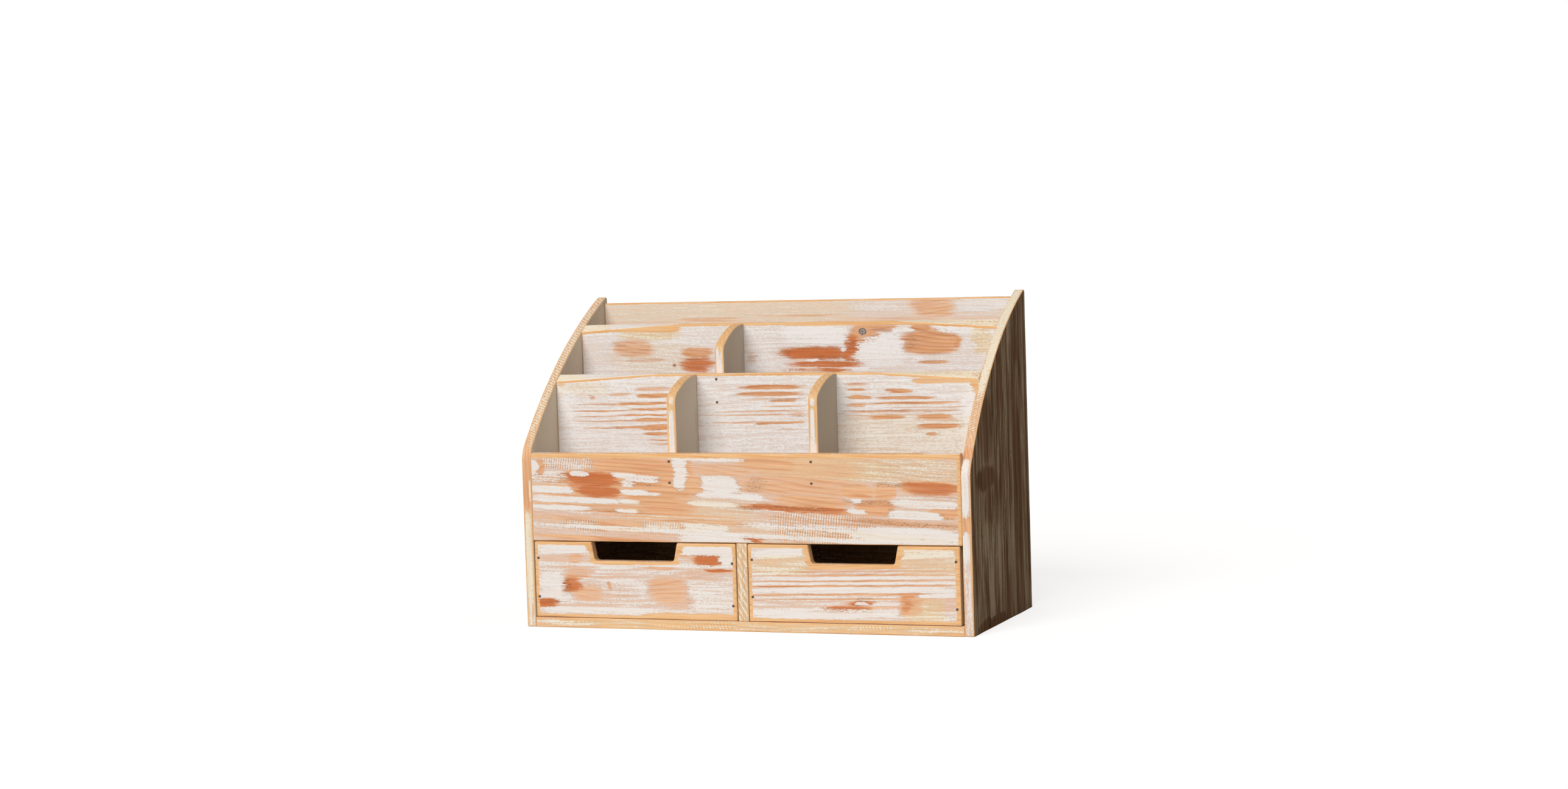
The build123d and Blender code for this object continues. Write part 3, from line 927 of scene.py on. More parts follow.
def joinRings(mesh, rings):
    # material 0 is the face at the low side, 1 the edges and 2 the face at the high side
    count = len(rings[0])
    for index, (ring, following) in enumerate(zip(rings, rings[1:])):
        where = 0 if index < 2 else (2 if index >= len(rings) - 3 else 1)
        for step in range(count):
            after = (step + 1) % count
            corners = list(dict.fromkeys((ring[step], ring[after], following[after], following[step])))
            if len(corners) > 2:
                face = mesh.faces.new(corners)
                face.material_index = where
                face.smooth = True


def sinkNail(mesh, board, head, side):
    # a recess round one nail head; its lip is left open for the face to be filled up to
    low, high = board["low"], board["high"]
    level, outward = (high[2], 1) if side else (low[2], -1)
    count = nailRecess["points"]
    room = min(head.x - low[0], high[0] - head.x, head.y - low[1], high[1] - head.y)
    outer, inner = [], []
    for turn in range(count):
        angle = turn / count * 2 * math.pi
        way = Vector((math.cos(angle), math.sin(angle)))
        wave = noise.noise(Vector((way.x * 1.3, way.y * 1.3, head.x + head.y)))
        lip = min(nailRecess["lip"] + nailRecess["uneven"] * wave, max(1.08, room - 0.9))
        outer.append(mesh.verts.new(boardPoint(board, *(head + way * lip), level)))
        floor = level - outward * nailRecess["depth"]
        inner.append(mesh.verts.new(boardPoint(board, *(head + way * nailRecess["wall"]), floor)))
    for turn in range(count):
        after = (turn + 1) % count
        wall = mesh.faces.new((outer[turn], outer[after], inner[after], inner[turn]))
        wall.material_index = side * 2
    mesh.faces.new(inner).material_index = side * 2
    return outer


def fillFace(mesh, board, name, side, loops):
    # the first loop is the rim and the others are the lips of the recesses
    axisA, axisB, unused = planeAxes[board["plane"]]
    verts = [vert for loop in loops for vert in loop]
    flat = [Vector((vert.co[axisA], vert.co[axisB])) / mm for vert in verts]
    shapes, first = [], 0
    for loop in loops:
        shapes.append(list(range(first, first + len(loop))))
        first += len(loop)
    filled = delaunay_2d_cdt(flat, [], shapes, 2, 1e-4)
    faces, sources = filled[2], filled[3]
    if not all(sources):
        print("outline crosses itself:", name, side)
    for corners in faces:
        if all(sources[corner] for corner in corners):
            face = mesh.faces.new([verts[sources[corner][0]] for corner in corners])
            face.material_index = side * 2
            face.smooth = True
    for lip in loops[1:]:
        for step, vert in enumerate(lip):
            mesh.edges.get((vert, lip[(step + 1) % len(lip)])).smooth = False


def makeBoard(name, node, body, outline, materials, settings):
    # materials are for the face at the low side, the edges, and the face at the high side
    low, high = nodeBox(node)
    board = {**boardDefaults, **settings}
    axes = planeAxes[board["plane"]]
    board["low"] = [low[axis] for axis in axes]
    board["high"] = [high[axis] for axis in axes]
    mesh = bmesh.new()
    kinds = ("flat", 0, 1, 2, 3, "edge")
    rings = [[makeRing(mesh, board, outline, side, kind) for kind in kinds] for side in (0, 1)]
    joinRings(mesh, rings[0] + rings[1][::-1])
    for side, outward in ((0, -1), (1, 1)):
        loops = [list(dict.fromkeys(rings[side][0]))]
        for head in nailHeads(node, board["plane"], outward):
            loops.append(sinkNail(mesh, board, head, side))
        fillFace(mesh, board, name, side, loops)
    bmesh.ops.recalc_face_normals(mesh, faces=mesh.faces)
    openEdges = sum(1 for edge in mesh.edges if len(edge.link_faces) != 2)
    data = bpy.data.meshes.new(name)
    mesh.to_mesh(data)
    mesh.free()
    for material in materials:
        data.materials.append(material)
    piece = bpy.data.objects.new(name, data)
    scene.collection.objects.link(piece)
    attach(piece, body)
    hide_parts(node)
    print("board", name, "faces", len(data.polygons), "open edges", openEdges)


def squareOutline(node, plane, rounding=1.0, step=5.0):
    axisA, axisB, unused = planeAxes[plane]
    low, high = nodeBox(node)
    left, right, foot, top = low[axisA], high[axisA], low[axisB], high[axisB]
    corners = ((left, foot), (right, foot), (right, top), (left, top))
    return roundedOutline([(*corner, rounding) for corner in corners], step)


def fitRim(face, node):
    # the worn band follows the arrises of the board itself
    low, high = nodeBox(node)
    places = [("xyz".index(axis), face["origin"]["xyz".index(axis)]) for axis in face["axes"][:2]]
    return {
        **face,
        "low": tuple(low[axis] - start for axis, start in places),
        "high": tuple(high[axis] - start for axis, start in places),
    }


def withNails(face, node, plane, outward):
    # the face's own settings with a stain round each nail that shows on it
    axisA, axisB, unused = planeAxes[plane]
    first = "xyz".index(face["axes"][0])
    second = axisB if first == axisA else axisA
    origin = face.get("origin", (0, 0, 0))
    marks = []
    for head in nailHeads(node, plane, outward):
        place = {axisA: head.x, axisB: head.y}
        marks.append((place[first] - origin[first], place[second] - origin[second]))
    return {**face, "nails": marks}


# finishes that several boards share
plainWash = {"paint": 0.72, "streaks": 1.1, "clouds": 0.5, "rim": (1.4, 1.4, 1.4, 1.4), "rimRoughness": 0.9}
warmEdge = {
    "paint": 0.22,
    "streaks": 1.2,
    "clouds": 0.2,
    "rim": (0.8, 0.8, 0.8, 0.8),
    "darkBorders": 0.2,
    "colours": {"woodPale": colour(240, 196, 142), "woodDark": colour(226, 162, 104)},
}
upright = {
    **plainWash,
    "axes": "zyx",
    "clouds": 0.2,
    "paint": 0.96,
    "streaks": 0.9,
    "flakes": 0.3,
    "crumbs": 0.4,
    "darkBorders": 0.1,
    "colours": {
        "woodPale": colour(216, 184, 146), "woodDark": colour(186, 144, 106),
        "thinPaint": colour(230, 222, 207), "paint": colour(236, 228, 216),
    },
}
rawPine = {
    "paint": -1.0,
    "rim": (0.5, 0.5, 0.5, 0.5),
    "darkBorders": 0.0,
    "ringSpacing": 5.5,
    "colours": {
        "woodPale": colour(210, 180, 142), "woodDark": colour(188, 152, 112),
        "rim": colour(200, 166, 126), "rimDark": colour(176, 138, 98),
    },
}
washAlongX = woodFinish("washAlongX", {**plainWash, "axes": "xzy", "seed": 2.0})
washFlat = woodFinish("washFlat", {**plainWash, "axes": "xyz", "seed": 3.0})
washUpright = woodFinish("washUpright", {**upright, "seed": 4.0})
edgeAlongX = woodFinish("edgeAlongX", {**warmEdge, "axes": "xyz", "seed": 5.0})
rawAlongX = woodFinish("rawAlongX", {**rawPine, "axes": "xzy", "seed": 7.0})
rawAlongY = woodFinish("rawAlongY", {**rawPine, "axes": "yzx", "seed": 8.0})
rawFlat = woodFinish("rawFlat", {**rawPine, "axes": "xyz", "seed": 9.0})
print("shared finishes made")

# front panel
frontPanel = {
    "board": {"plane": "xz", "seed": 1.0, "topFrontArris": 2.1},
    "face": {
        "axes": "xzy",
        "origin": nodeBox("front_panel")[0],
        "rim": (0.9, 3.2, 0.8, 4.4),
        "slope": -0.042,
        "seed": 11.0,
        "paint": 0.66,
        "streaks": 1.15,
        "saw": (0.44, -0.05, 0.0),
        "spots": {
            "bare": [
                (4, 13, 57, 70, 0.9), (58, 132, 60, 72.5, 0.9), (76, 137, 45, 60, 1.0),
                (84, 140, 36, 46, 1.0), (100, 152, 24, 38, 0.7), (55, 112, 24, 33, 0.5),
                (122, 153, 38, 72, 0.95), (0, 44, 39.8, 41.2, 1.0), (0, 62, 31.6, 33.2, 0.9),
                (0, 60, 47.6, 48.8, 1.0), (0, 196, 24.2, 25.6, 0.75), (58, 196, 20, 21.3, 0.8),
                (100, 196, 17, 18.4, 0.9), (150, 204, 57, 67, 0.45), (0, 40, 50, 57, 0.35),
                (60, 106, 10, 19, 0.5), (0, 140, 0, 4.2, 0.7), (0, 60, 18, 22.5, 0.3),
                (148, 160, 40, 57, 0.7), (194, 246, 62, 73, 0.85), (190, 300, 41, 57, 0.55),
                (285, 312, 39.5, 50, 1.0), (313, 332, 38, 51, 0.95), (225, 290, 31, 41, 0.7),
                (363, 388, 22, 33, 0.9), (285, 390, 15.5, 21, 0.55), (298, 330, 24, 38, 0.8),
                (205, 300, 56, 72, 0.35),
            ],
            "deep": [
                (30, 84, 47.8, 60.5, 1.0), (38, 86, 37.8, 48.6, 1.0), (194, 276, 27.5, 32.5, 0.8),
                (338, 390, 42, 53, 0.8), (194, 213, -1, 7, 0.9), (262, 290, 25, 31, 0.7),
                (292, 312, 40, 44, 0.5),
            ],
            "white": [
                (10, 60, 62.5, 73.5, 0.6), (-3, 7.5, 58, 70, 1.0), (0, 37, 50.5, 61.5, 0.6),
                (-3, 42, 41.6, 47.6, 1.0), (-3, 62, 33.6, 39.2, 1.0), (-3, 56, 26.8, 31, 1.0),
                (36, 57, 56, 61, 1.0), (75, 100, 54.5, 59.8, 1.0), (84, 123, 51.2, 58, 0.95),
                (84, 98, 46.5, 53, 0.8), (82, 110, 39.8, 45, 1.0), (104, 122, 39.3, 43, 0.9),
                (55, 80, 33, 37, 1.0), (82, 104, 33, 36.2, 1.0), (80, 100, 24.8, 28.4, 1.0),
                (133, 147, 44, 78, 1.0), (157, 194, 43.5, 57.5, 1.0), (154, 204, 37.6, 42.6, 1.0),
                (146, 192, 31.2, 35.4, 1.0), (110, 204, 70.6, 73.6, 1.0), (29, 66, 10, 19, 0.5),
                (104, 141, 9, 17, 0.5), (141, 183, 9, 16.8, 0.9), (-3, 392, 4.8, 9, 0.9),
                (139, 204, -2, 6, 1.0), (192, 216, 36.3, 42, 1.0), (328, 390, 31, 37, 1.0),
                (326, 374, 21.8, 28.8, 1.0), (303, 390, 54.5, 71, 0.22), (356, 394, 74.2, 78, 1.0),
                (294, 303, 35, 38.6, 0.9), (290, 307, 25.8, 30, 0.9), (195, 392, 9, 15, 0.7),
                (290, 394, 1, 14, 1.0), (225, 313, 1, 27, 0.35),
            ],
            "cream": [
                (208, 340, 54, 74, 1.0), (60, 106, 8, 20, 0.5), (90, 205, 16, 38, 0.6),
                (300, 392, 50, 74, 0.6), (0, 392, 8, 15, 0.4),
            ],
            "saw": [
                (8, 134, 60, 74, 1.0), (222, 314, -3, 28, 1.0), (29, 70, 8, 19, 0.8),
                (100, 142, 6, 18, 0.8),
            ],
            "dark": [
                (168, 200, 28.6, 31.8, 1.0), (190, 216, 27, 32.6, 1.0), (215, 276, 28, 32, 0.8),
                (288, 312, 33.8, 38.8, 0.9), (312, 332, 33, 38, 0.7), (316, 342, 48.3, 53, 1.0),
                (198, 217, 43, 56, 0.6), (282, 392, 15.2, 20.6, 0.8), (75, 122, 48.5, 52, 0.6),
                (55, 62, 26.8, 29.6, 1.0), (64, 92, 25, 28.6, 0.8), (345, 390, 37.6, 44, 0.5),
                (326, 330, 22, 32, 0.9), (366, 378, 22, 26, 0.8),
            ],
        },
    },
    "edge": {
        **warmEdge,
        "axes": "xyz",
        "origin": (*nodeBox("front_panel")[0][:2], 0),
        "seed": 12.0,
        "paint": 0.1,
        "spots": {
            "white": [(355, 395, -1, 6, 0.8), (-3, 20, 1, 8, 0.5)],
        },
    },
}


def makeFrontPanel(settings):
    node = "front_panel"
    finishes = (
        woodFinish("frontPanelWash", withNails(fitRim(settings["face"], node), node, "xz", -1)),
        woodFinish("frontPanelEdge", fitRim(settings["edge"], node)),
        washAlongX,
    )
    outline = squareOutline(node, "xz")
    makeBoard("frontPanelBoard", node, "carcass", outline, finishes, settings["board"])


makeFrontPanel(frontPanel)

# drawers: their spots are measured from a point a little outside the front board
leftDrawer = {
    "node": "left_drawer",
    "seed": 21.0,
    "face": {
        "axes": "xzy",
        "origin": (-195, nodeBox("left_drawer_front")[0][1], 7),
        "rim": (3.5, 3.4, 3.0, 3.0),
        "paint": 0.9,
        "flakes": 0.6,
        "streaks": 1.3,
        "spots": {
            "bare": [
                (5, 54, 49, 57.5, 0.35), (32, 46, 49.5, 58, 0.75), (20, 62, 45, 47.4, 0.6),
                (104, 134, 44.6, 48.4, 0.7), (28, 57, 40.8, 44.3, 0.85), (27, 54, 36.8, 40.2, 0.9),
                (38, 64, 17, 30, 0.75), (108, 143, 15, 39, 0.8), (118, 150, 11, 24, 0.5),
                (69.3, 73, 26.5, 33.5, 1.0), (134, 153, 55, 60.5, 0.7), (50, 112, 36, 38.6, 0.35),
                (90, 186, 36.6, 39, 0.4), (55, 98, 19, 31, 0.25), (20, 80, 12, 16, 0.35),
                (135, 186, 40, 46, 0.25),
            ],
            "deep": [
                (26, 45, 23, 37.5, 0.85), (0, 20, 10.5, 18.5, 1.0), (148, 180, 48.8, 58, 1.0),
                (160, 188, 43.2, 46.4, 0.9),
            ],
            "white": [
                (5, 52, 58, 65.4, 1.0), (3, 187, 47, 50.2, 0.8), (134, 187, 57, 66.5, 1.0),
                (6, 26, 20, 42, 0.7), (5, 112, 5.5, 11.5, 0.8), (142, 186, 10, 36, 0.35),
                (60, 104, 24, 36, 0.3), (172, 187, 50, 62, 1.0),
            ],
            "dark": [
                (23, 35, 22, 38, 0.9), (27, 37, 14, 22.5, 1.0), (8, 28, 14.2, 17.8, 0.8),
                (150, 187, 38, 42.4, 0.4), (119, 126, 41, 44, 0.7), (76, 96, 20.8, 23.6, 0.6),
                (44, 52, 30, 37, 0.5), (98, 112, 25, 29, 0.5), (60, 66, 45, 47, 0.4),
            ],
            "honey": [
                (50.5, 58, 59, 71, 1.0), (52.5, 61, 50, 62, 1.0), (54, 137, 48.6, 53.4, 1.0),
                (129.6, 137, 50, 62, 1.0), (132, 139.5, 59, 71, 1.0), (100, 192, 0, 7.6, 0.9),
                (26, 48, 0, 6, 0.6),
            ],
        },
    },
}
rightDrawer = {
    "node": "right_drawer",
    "seed": 22.0,
    "face": {
        "axes": "xzy",
        "origin": (-2, nodeBox("right_drawer_front")[0][1], 7),
        "rim": (3.4, 4.4, 3.0, 3.2),
        "slope": 0.022,
        "paint": 0.9,
        "flakes": 0.6,
        "streaks": 1.35,
        "reach": (12.0, 1.7, 0.0),
        "spots": {
            "bare": [
                (6, 198, 25.8, 27.5, 1.0), (6, 198, 32.9, 34.6, 1.0), (6, 198, 37.3, 38.7, 1.0),
                (6, 198, 42.0, 43.6, 0.85), (6, 198, 45.2, 46.8, 0.7), (55, 150, 47.4, 50, 0.8),
                (10, 120, 19.2, 20.6, 0.5), (6, 198, 22.0, 23.4, 0.85), (10, 58, 50.5, 56, 0.3),
                (142, 192, 47, 58, 0.3), (140, 162, 10, 31, 0.75), (158, 196, 14, 24, 0.35),
                (8, 100, 13, 18, 0.2), (84, 150, 15, 17, 0.7),
            ],
            "deep": [
                (74, 118, 12, 17, 0.8), (92, 118, 17.3, 21.6, 0.85), (141, 152, 10, 27, 0.5),
                (8, 60, 31.5, 33, 0.6),
            ],
            "white": [
                (9, 193, 39.0, 41.7, 0.9), (9, 193, 34.9, 37.0, 0.9), (9, 193, 27.8, 32.6, 0.9),
                (9, 120, 5, 15, 0.8), (10, 58, 57, 65.5, 0.8), (143, 190, 58, 65.5, 0.8),
                (9, 90, 20.8, 21.8, 0.6), (158, 191, 25, 29, 0.9), (101, 111, 18, 20.6, 1.0),
                (115, 140, 18, 20.6, 0.9), (8, 60, 41.6, 45, 0.4), (110, 140, 8, 13, 0.7),
            ],
            "cream": [(8, 64, 42, 59, 0.8), (138, 194, 43, 66, 0.7), (148, 178, 3, 24, 1.0)],
            "dark": [
                (153, 164, 1.6, 4.4, 1.0), (96, 119, 17, 19.2, 0.8), (100, 117, 21, 24.6, 0.8),
                (84, 97, 38.5, 42, 0.6), (97, 105, 35.6, 38.4, 0.7), (114, 118, 35, 37.5, 0.7),
                (104, 150, 33.4, 35.2, 0.4), (40, 118, 24.8, 26.8, 0.3),
            ],
            "honey": [
                (55.5, 63, 59, 71, 1.0), (57.5, 66, 50, 62, 1.0), (59, 142, 47.8, 53.4, 1.0),
                (135.4, 143, 50, 62, 1.0), (137.6, 145.5, 59, 71, 1.0), (110, 198, 0, 5.4, 0.8),
            ],
        },
    },
}
notch = {"topWidth": 79.6, "lowWidth": 73.3, "depth": 16.1, "cornerRadius": 3.0, "lipRadius": 1.2}
drawerEdge = {**warmEdge, "axes": "xyz", "paint": -0.2, "darkBorders": 0.1}
drawerBoards = {
    "front": {"plane": "xz", "arris": 0.9},
    "hidden": {"arris": 0.4, "waver": 0.06, "flatStep": 0.16},
    "corner": 1.2,
}


def notchedOutline(node):
    low, high = nodeBox(node)
    left, right, foot, top = low[0], high[0], low[2], high[2]
    middle = (left + right) / 2
    wide, narrow = notch["topWidth"] / 2, notch["lowWidth"] / 2
    corner, lip, bend = drawerBoards["corner"], notch["lipRadius"], notch["cornerRadius"]
    return roundedOutline([
        (left, foot, corner), (right, foot, corner), (right, top, corner), (middle + wide, top, lip),
        (middle + narrow, top - notch["depth"], bend), (middle - narrow, top - notch["depth"], bend),
        (middle - wide, top, lip), (left, top, corner),
    ], 4.0)


def makeDrawer(label, settings):
    body, seed = settings["node"], settings["seed"]
    node = body + "_front"
    face = fitRim({**settings["face"], "seed": seed}, node)
    finishes = (
        woodFinish(label + "Wash", withNails(face, node, "xz", -1)),
        woodFinish(label + "Edge", {**drawerEdge, "seed": seed + 5}),
        rawAlongX,
    )
    chosen = {**drawerBoards["front"], "seed": seed}
    makeBoard(label + "Front", node, body, notchedOutline(node), finishes, chosen)
    for part, plane, material in (
        ("left_wall", "yz", rawAlongY), ("right_wall", "yz", rawAlongY),
        ("back", "xz", rawAlongX), ("bottom", "xy", rawFlat),
    ):
        seed += 1
        node = body + "_" + part
        title = label + "".join(word.capitalize() for word in part.split("_"))
        outline = squareOutline(node, plane, 1.0, 8.0)
        chosen = {**drawerBoards["hidden"], "plane": plane, "seed": seed}
        makeBoard(title, node, body, outline, (material,) * 3, chosen)


makeDrawer("leftDrawer", leftDrawer)
makeDrawer("rightDrawer", rightDrawer)
print("drawers made")

# panels behind the rows of compartments: their top edges are sanded down in front towards both ends
tierWear = {"cornerDrop": 6.0, "cornerRun": 92.0}
tierFace = {
    **tierWear,
    "axes": "xzy",
    "colours": {
        "thinPaint": colour(240, 227, 220), "paint": colour(242, 239, 239),
        "woodPale": colour(230, 172, 126), "woodDark": colour(200, 128, 82),
    },
}
frontTier = {
    "node": "front_tier_panel",
    "seed": 31.0,
    "face": {
        **tierFace,
        "origin": (*nodeBox("front_tier_panel")[0][:2], 140),
        "rim": (0.8, 1.6, 1.0, 2.4),
        "slope": 0.012,
        "paint": 1.02,
        "flakes": 0.68,
        "wear": 1.15,
        "reach": (24.0, 2.0, 0.0),
        "streaks": 1.7,
        "crumbs": 2.5,
        "spots": {
            "bare": [
                (76, 112, 55, 59, 1.0), (60, 112, 49, 51.4, 0.95), (18, 70, 49, 50.6, 0.6),
                (70, 112, 44, 46, 0.85), (16, 80, 43.3, 44.8, 0.6), (58, 112, 39.2, 41, 0.9),
                (16, 70, 38.4, 39.5, 0.6), (70, 112, 34.6, 37.6, 0.95), (18, 76, 34.2, 35.5, 0.6),
                (80, 112, 27, 31.8, 1.0), (52, 84, 28.6, 30.6, 0.85), (22, 60, 28.1, 29.2, 0.6),
                (82, 112, 22.5, 25.4, 0.9), (84, 112, 17.6, 19, 0.6), (92, 112, 13.5, 15.5, 0.5),
                (75, 112, 61, 65, 0.45), (50, 66, 57, 59.5, 0.5), (30, 36, 54, 58, 0.5),
                (176, 234, 62, 66, 0.9), (170, 232, 56, 60, 0.8), (178, 234, 52.5, 54.6, 0.6),
                (150, 236, 39.4, 40.7, 0.5), (142, 236, 42.5, 43.7, 0.55), (150, 236, 33, 34.2, 0.6),
                (190, 202, 31, 34, 0.8), (199, 225, 51, 54.6, 0.8), (194, 238, 46.8, 48, 0.6),
                (194, 236, 32, 33.9, 0.8), (222, 234, 38, 43, 0.5), (205, 238, 26.8, 28, 0.4),
                (272, 292, 60, 62.4, 0.9), (272, 293, 53, 56.5, 0.9), (272, 292, 46.5, 50, 0.7),
                (308, 327, 58.3, 62, 0.85), (298, 347, 52.6, 55.6, 0.8), (294, 377, 48.6, 51, 0.7),
                (272, 374, 42, 44, 0.65), (294, 322, 36, 40, 0.7), (338, 364, 36, 40.6, 0.95),
                (334, 374, 34.2, 37, 0.6), (338, 372, 28, 32, 0.9), (342, 354, 22, 24.7, 0.8),
                (270, 377, 38.8, 40.2, 0.4), (270, 291, 64.4, 67, 0.5), (308, 374, 45, 46.5, 0.5),
            ],
            "white": [
                (260, 272, 6, 76, 0.5), (376, 387, 6, 64, 1.0), (2, 16, 4, 64, 0.5),
                (134, 150, 6, 70, 0.4),
            ],
            "cream": [(255, 389, 4, 40, 0.5), (2, 50, 58, 70, 0.5)],
            "dark": [
                (18, 24, 47.6, 50.6, 0.9), (17, 24, 42.8, 45, 0.8), (21, 26, 22.6, 26, 1.0),
                (53, 57.5, 27, 31.4, 0.9), (58, 65, 25.5, 29, 0.9), (87, 95, 25.8, 29, 0.8),
                (83, 91, 36.8, 39.6, 0.9), (75.5, 79.5, 52, 55.4, 1.0), (81.5, 85.5, 52, 55.4, 1.0),
                (91.5, 96.5, 51.8, 55.4, 1.0), (84, 106, 20.2, 22.6, 0.7), (84, 106, 32.4, 34.6, 0.6),
                (10, 14, 24.6, 27.4, 0.7), (199, 226, 51.6, 54.2, 0.7), (192, 201, 29.6, 33, 0.9),
                (213, 223, 28, 31.4, 1.0), (221, 234, 37, 41, 0.8), (261.6, 264.6, 22.6, 27, 1.0),
                (369.6, 373.4, 22.6, 27.4, 1.0), (264, 332, 42.6, 45, 0.6), (342, 353, 40, 44, 0.5),
                (346, 352, 22, 24, 0.6), (60, 110, 15, 17, 0.4),
            ],
            "honey": [(330, 392, 66.4, 71.6, 0.9), (384, 392, 58, 72, 1.0), (0, 8, 66, 71.6, 0.7)],
        },
    },
}
rearTier = {
    "node": "rear_tier_panel",
    "seed": 32.0,
    "face": {
        **tierFace,
        "origin": (*nodeBox("rear_tier_panel")[0][:2], 200),
        "rim": (0.8, 1.6, 1.0, 2.6),
        "slope": -0.004,
        "paint": 1.0,
        "flakes": 0.6,
        "wear": 0.9,
        "bareEdge": 0.7,
        "streaks": 1.3,
        "crumbs": 2.2,
        "darkBorders": 0.75,
        "spots": {
            "bare": [
                (30, 70, 28, 43, 0.75), (96, 127, 27, 35.5, 0.9), (42, 80, 22.6, 27, 0.45),
                (160, 169, 20, 31, 0.45), (257, 284, 38, 55, 0.85), (303, 356, 27.6, 49.5, 1.0),
                (312, 331, 46, 56, 1.0), (318, 347, 19, 22, 0.8), (276, 300, 47, 55, 0.8),
                (334, 352, 38, 45, 0.6), (192, 262, 13, 16, 0.7), (0, 40, 20, 40, 0.12),
            ],
            "deep": [
                (97, 129, 13, 27, 0.85), (189, 258, 22.8, 35, 1.0), (200, 270, 17, 22.5, 0.9),
                (250, 262, 20, 45, 0.9), (196, 214, 14, 17, 0.5), (350, 357, 33, 42, 0.4),
                (232, 250, 13, 17, 0.7),
            ],
            "white": [
                (192, 254, 37.5, 53, 0.9), (216, 228, 21.6, 24.6, 1.0), (254, 266, 21.2, 23, 0.7),
                (256, 272, 13.6, 17, 0.8), (264, 306, 18, 44, 0.9), (306, 314, 47, 50.5, 1.0),
                (335, 376, 45.5, 54, 0.9), (196, 213, 13.6, 16, 0.7), (312, 322, 20, 26, 0.6),
                (136, 186, 14, 56, 0.35), (296, 302, 47, 51, 0.6), (247, 252, 30, 34, 0.8),
            ],
            "cream": [(35, 97, 43, 51.5, 1.0), (368, 386, 28, 51, 1.0), (28, 112, 13, 40, 0.4)],
            "dark": [
                (214, 258, 35.4, 41.6, 0.8), (190, 262, 32.6, 36.4, 0.7), (188, 201, 22, 36, 0.7),
                (222, 262, 21.6, 27.6, 0.8), (262, 304, 38, 44, 0.5), (282, 303, 44, 51, 0.7),
                (303, 315, 30, 48, 0.5), (258, 276, 14, 18, 0.8), (318, 352, 26, 28.6, 0.6),
                (334, 357, 42, 46, 0.5), (98, 129, 24.6, 27.6, 0.7), (42, 80, 23, 26, 0.5),
                (316, 330, 20, 24, 0.6), (172, 180, 38, 44, 0.4), (180, 196, 38.5, 41, 0.5),
                (189, 193, 24, 30, 0.5), (366, 370, 47, 50, 0.7), (28, 40, 38, 42, 0.4),
            ],
            "honey": [
                (28, 96, 49.6, 55.6, 1.0), (-2, 50, 50.4, 53.6, 0.9), (90, 130, 54.4, 58, 0.7),
                (188, 338, 53.2, 58, 0.95),
            ],
        },
        "knots": (((267.7, 48.0), 3.3), ((89.5, 20.0), 1.1)),
    },
}
tierEdge = {
    **warmEdge,
    "axes": "xyz",
    "origin": (nodeBox("front_tier_panel")[0][0], 0, 0),
    "paint": 0.2,
    "spots": {
        "white": [(-4, 96, -200, 200, 0.9), (300, 394, -200, 200, 0.7)],
        "cream": [(-4, 26, -200, 200, 1.0), (300, 394, -200, 200, 1.0)],
    },
}


def makeTier(label, settings):
    node, seed = settings["node"], settings["seed"]
    face = fitRim({**settings["face"], "seed": seed}, node)
    rear = {**plainWash, "axes": "xzy", "seed": seed + 4}
    finishes = (
        woodFinish(label + "Wash", withNails(face, node, "xz", -1)),
        woodFinish(label + "Edge", {**tierEdge, "seed": seed + 2}),
        woodFinish(label + "Rear", withNails(rear, node, "xz", 1)),
    )
    outline = squareOutline(node, "xz", 1.0, 4.0)
    chosen = {**tierWear, "plane": "xz", "seed": seed}
    makeBoard(label, node, "carcass", outline, finishes, chosen)


makeTier("frontTierBoard", frontTier)
makeTier("rearTierBoard", rearTier)

# back panel
backPanel = {
    "board": {"plane": "xz", "seed": 41.0},
    "front": {
        "axes": "xzy",
        "origin": (*nodeBox("back_panel")[0][:2], 240),
        "rim": (0.8, 0.8, 1.0, 1.5),
        "slope": -0.01,
        "seed": 41.0,
        "paint": 0.9,
        "flakes": 0.5,
        "streaks": 1.5,
        "darkBorders": 0.2,
        "spots": {
            "bare": [
                (296, 336, 17, 35, 0.8), (75, 135, 15.6, 20, 0.6), (150, 232, 19.4, 21.4, 0.6),
                (230, 389, 15, 17.5, 0.5), (0, 74, 15, 17.5, 0.4),
            ],
            "white": [(338, 386, 22, 33, 0.8), (240, 292, 24, 31, 0.4)],
            "cream": [(-5, 240, 14, 36, 0.8)],
        },
        "colours": {
            "thinPaint": colour(241, 222, 208), "thinCream": colour(240, 222, 200),
            "woodPale": colour(236, 182, 134), "cream": colour(243, 230, 210),
        },
    },
    "rear": {
        **plainWash,
        "axes": "xzy",
        "origin": (0, 0, 0),
        "seed": 42.0,
        "paint": 0.86,
        "rim": (3.0, 2.6, 3.0, 2.6),
    },
}


def makeBackPanel(settings):
    node = "back_panel"
    finishes = (
        woodFinish("backPanelWash", fitRim(settings["front"], node)),
        edgeAlongX,
        woodFinish("backPanelRear", withNails(fitRim(settings["rear"], node), node, "xz", 1)),
    )
    outline = squareOutline(node, "xz")
    makeBoard("backBoard", node, "carcass", outline, finishes, settings["board"])


makeBackPanel(backPanel)

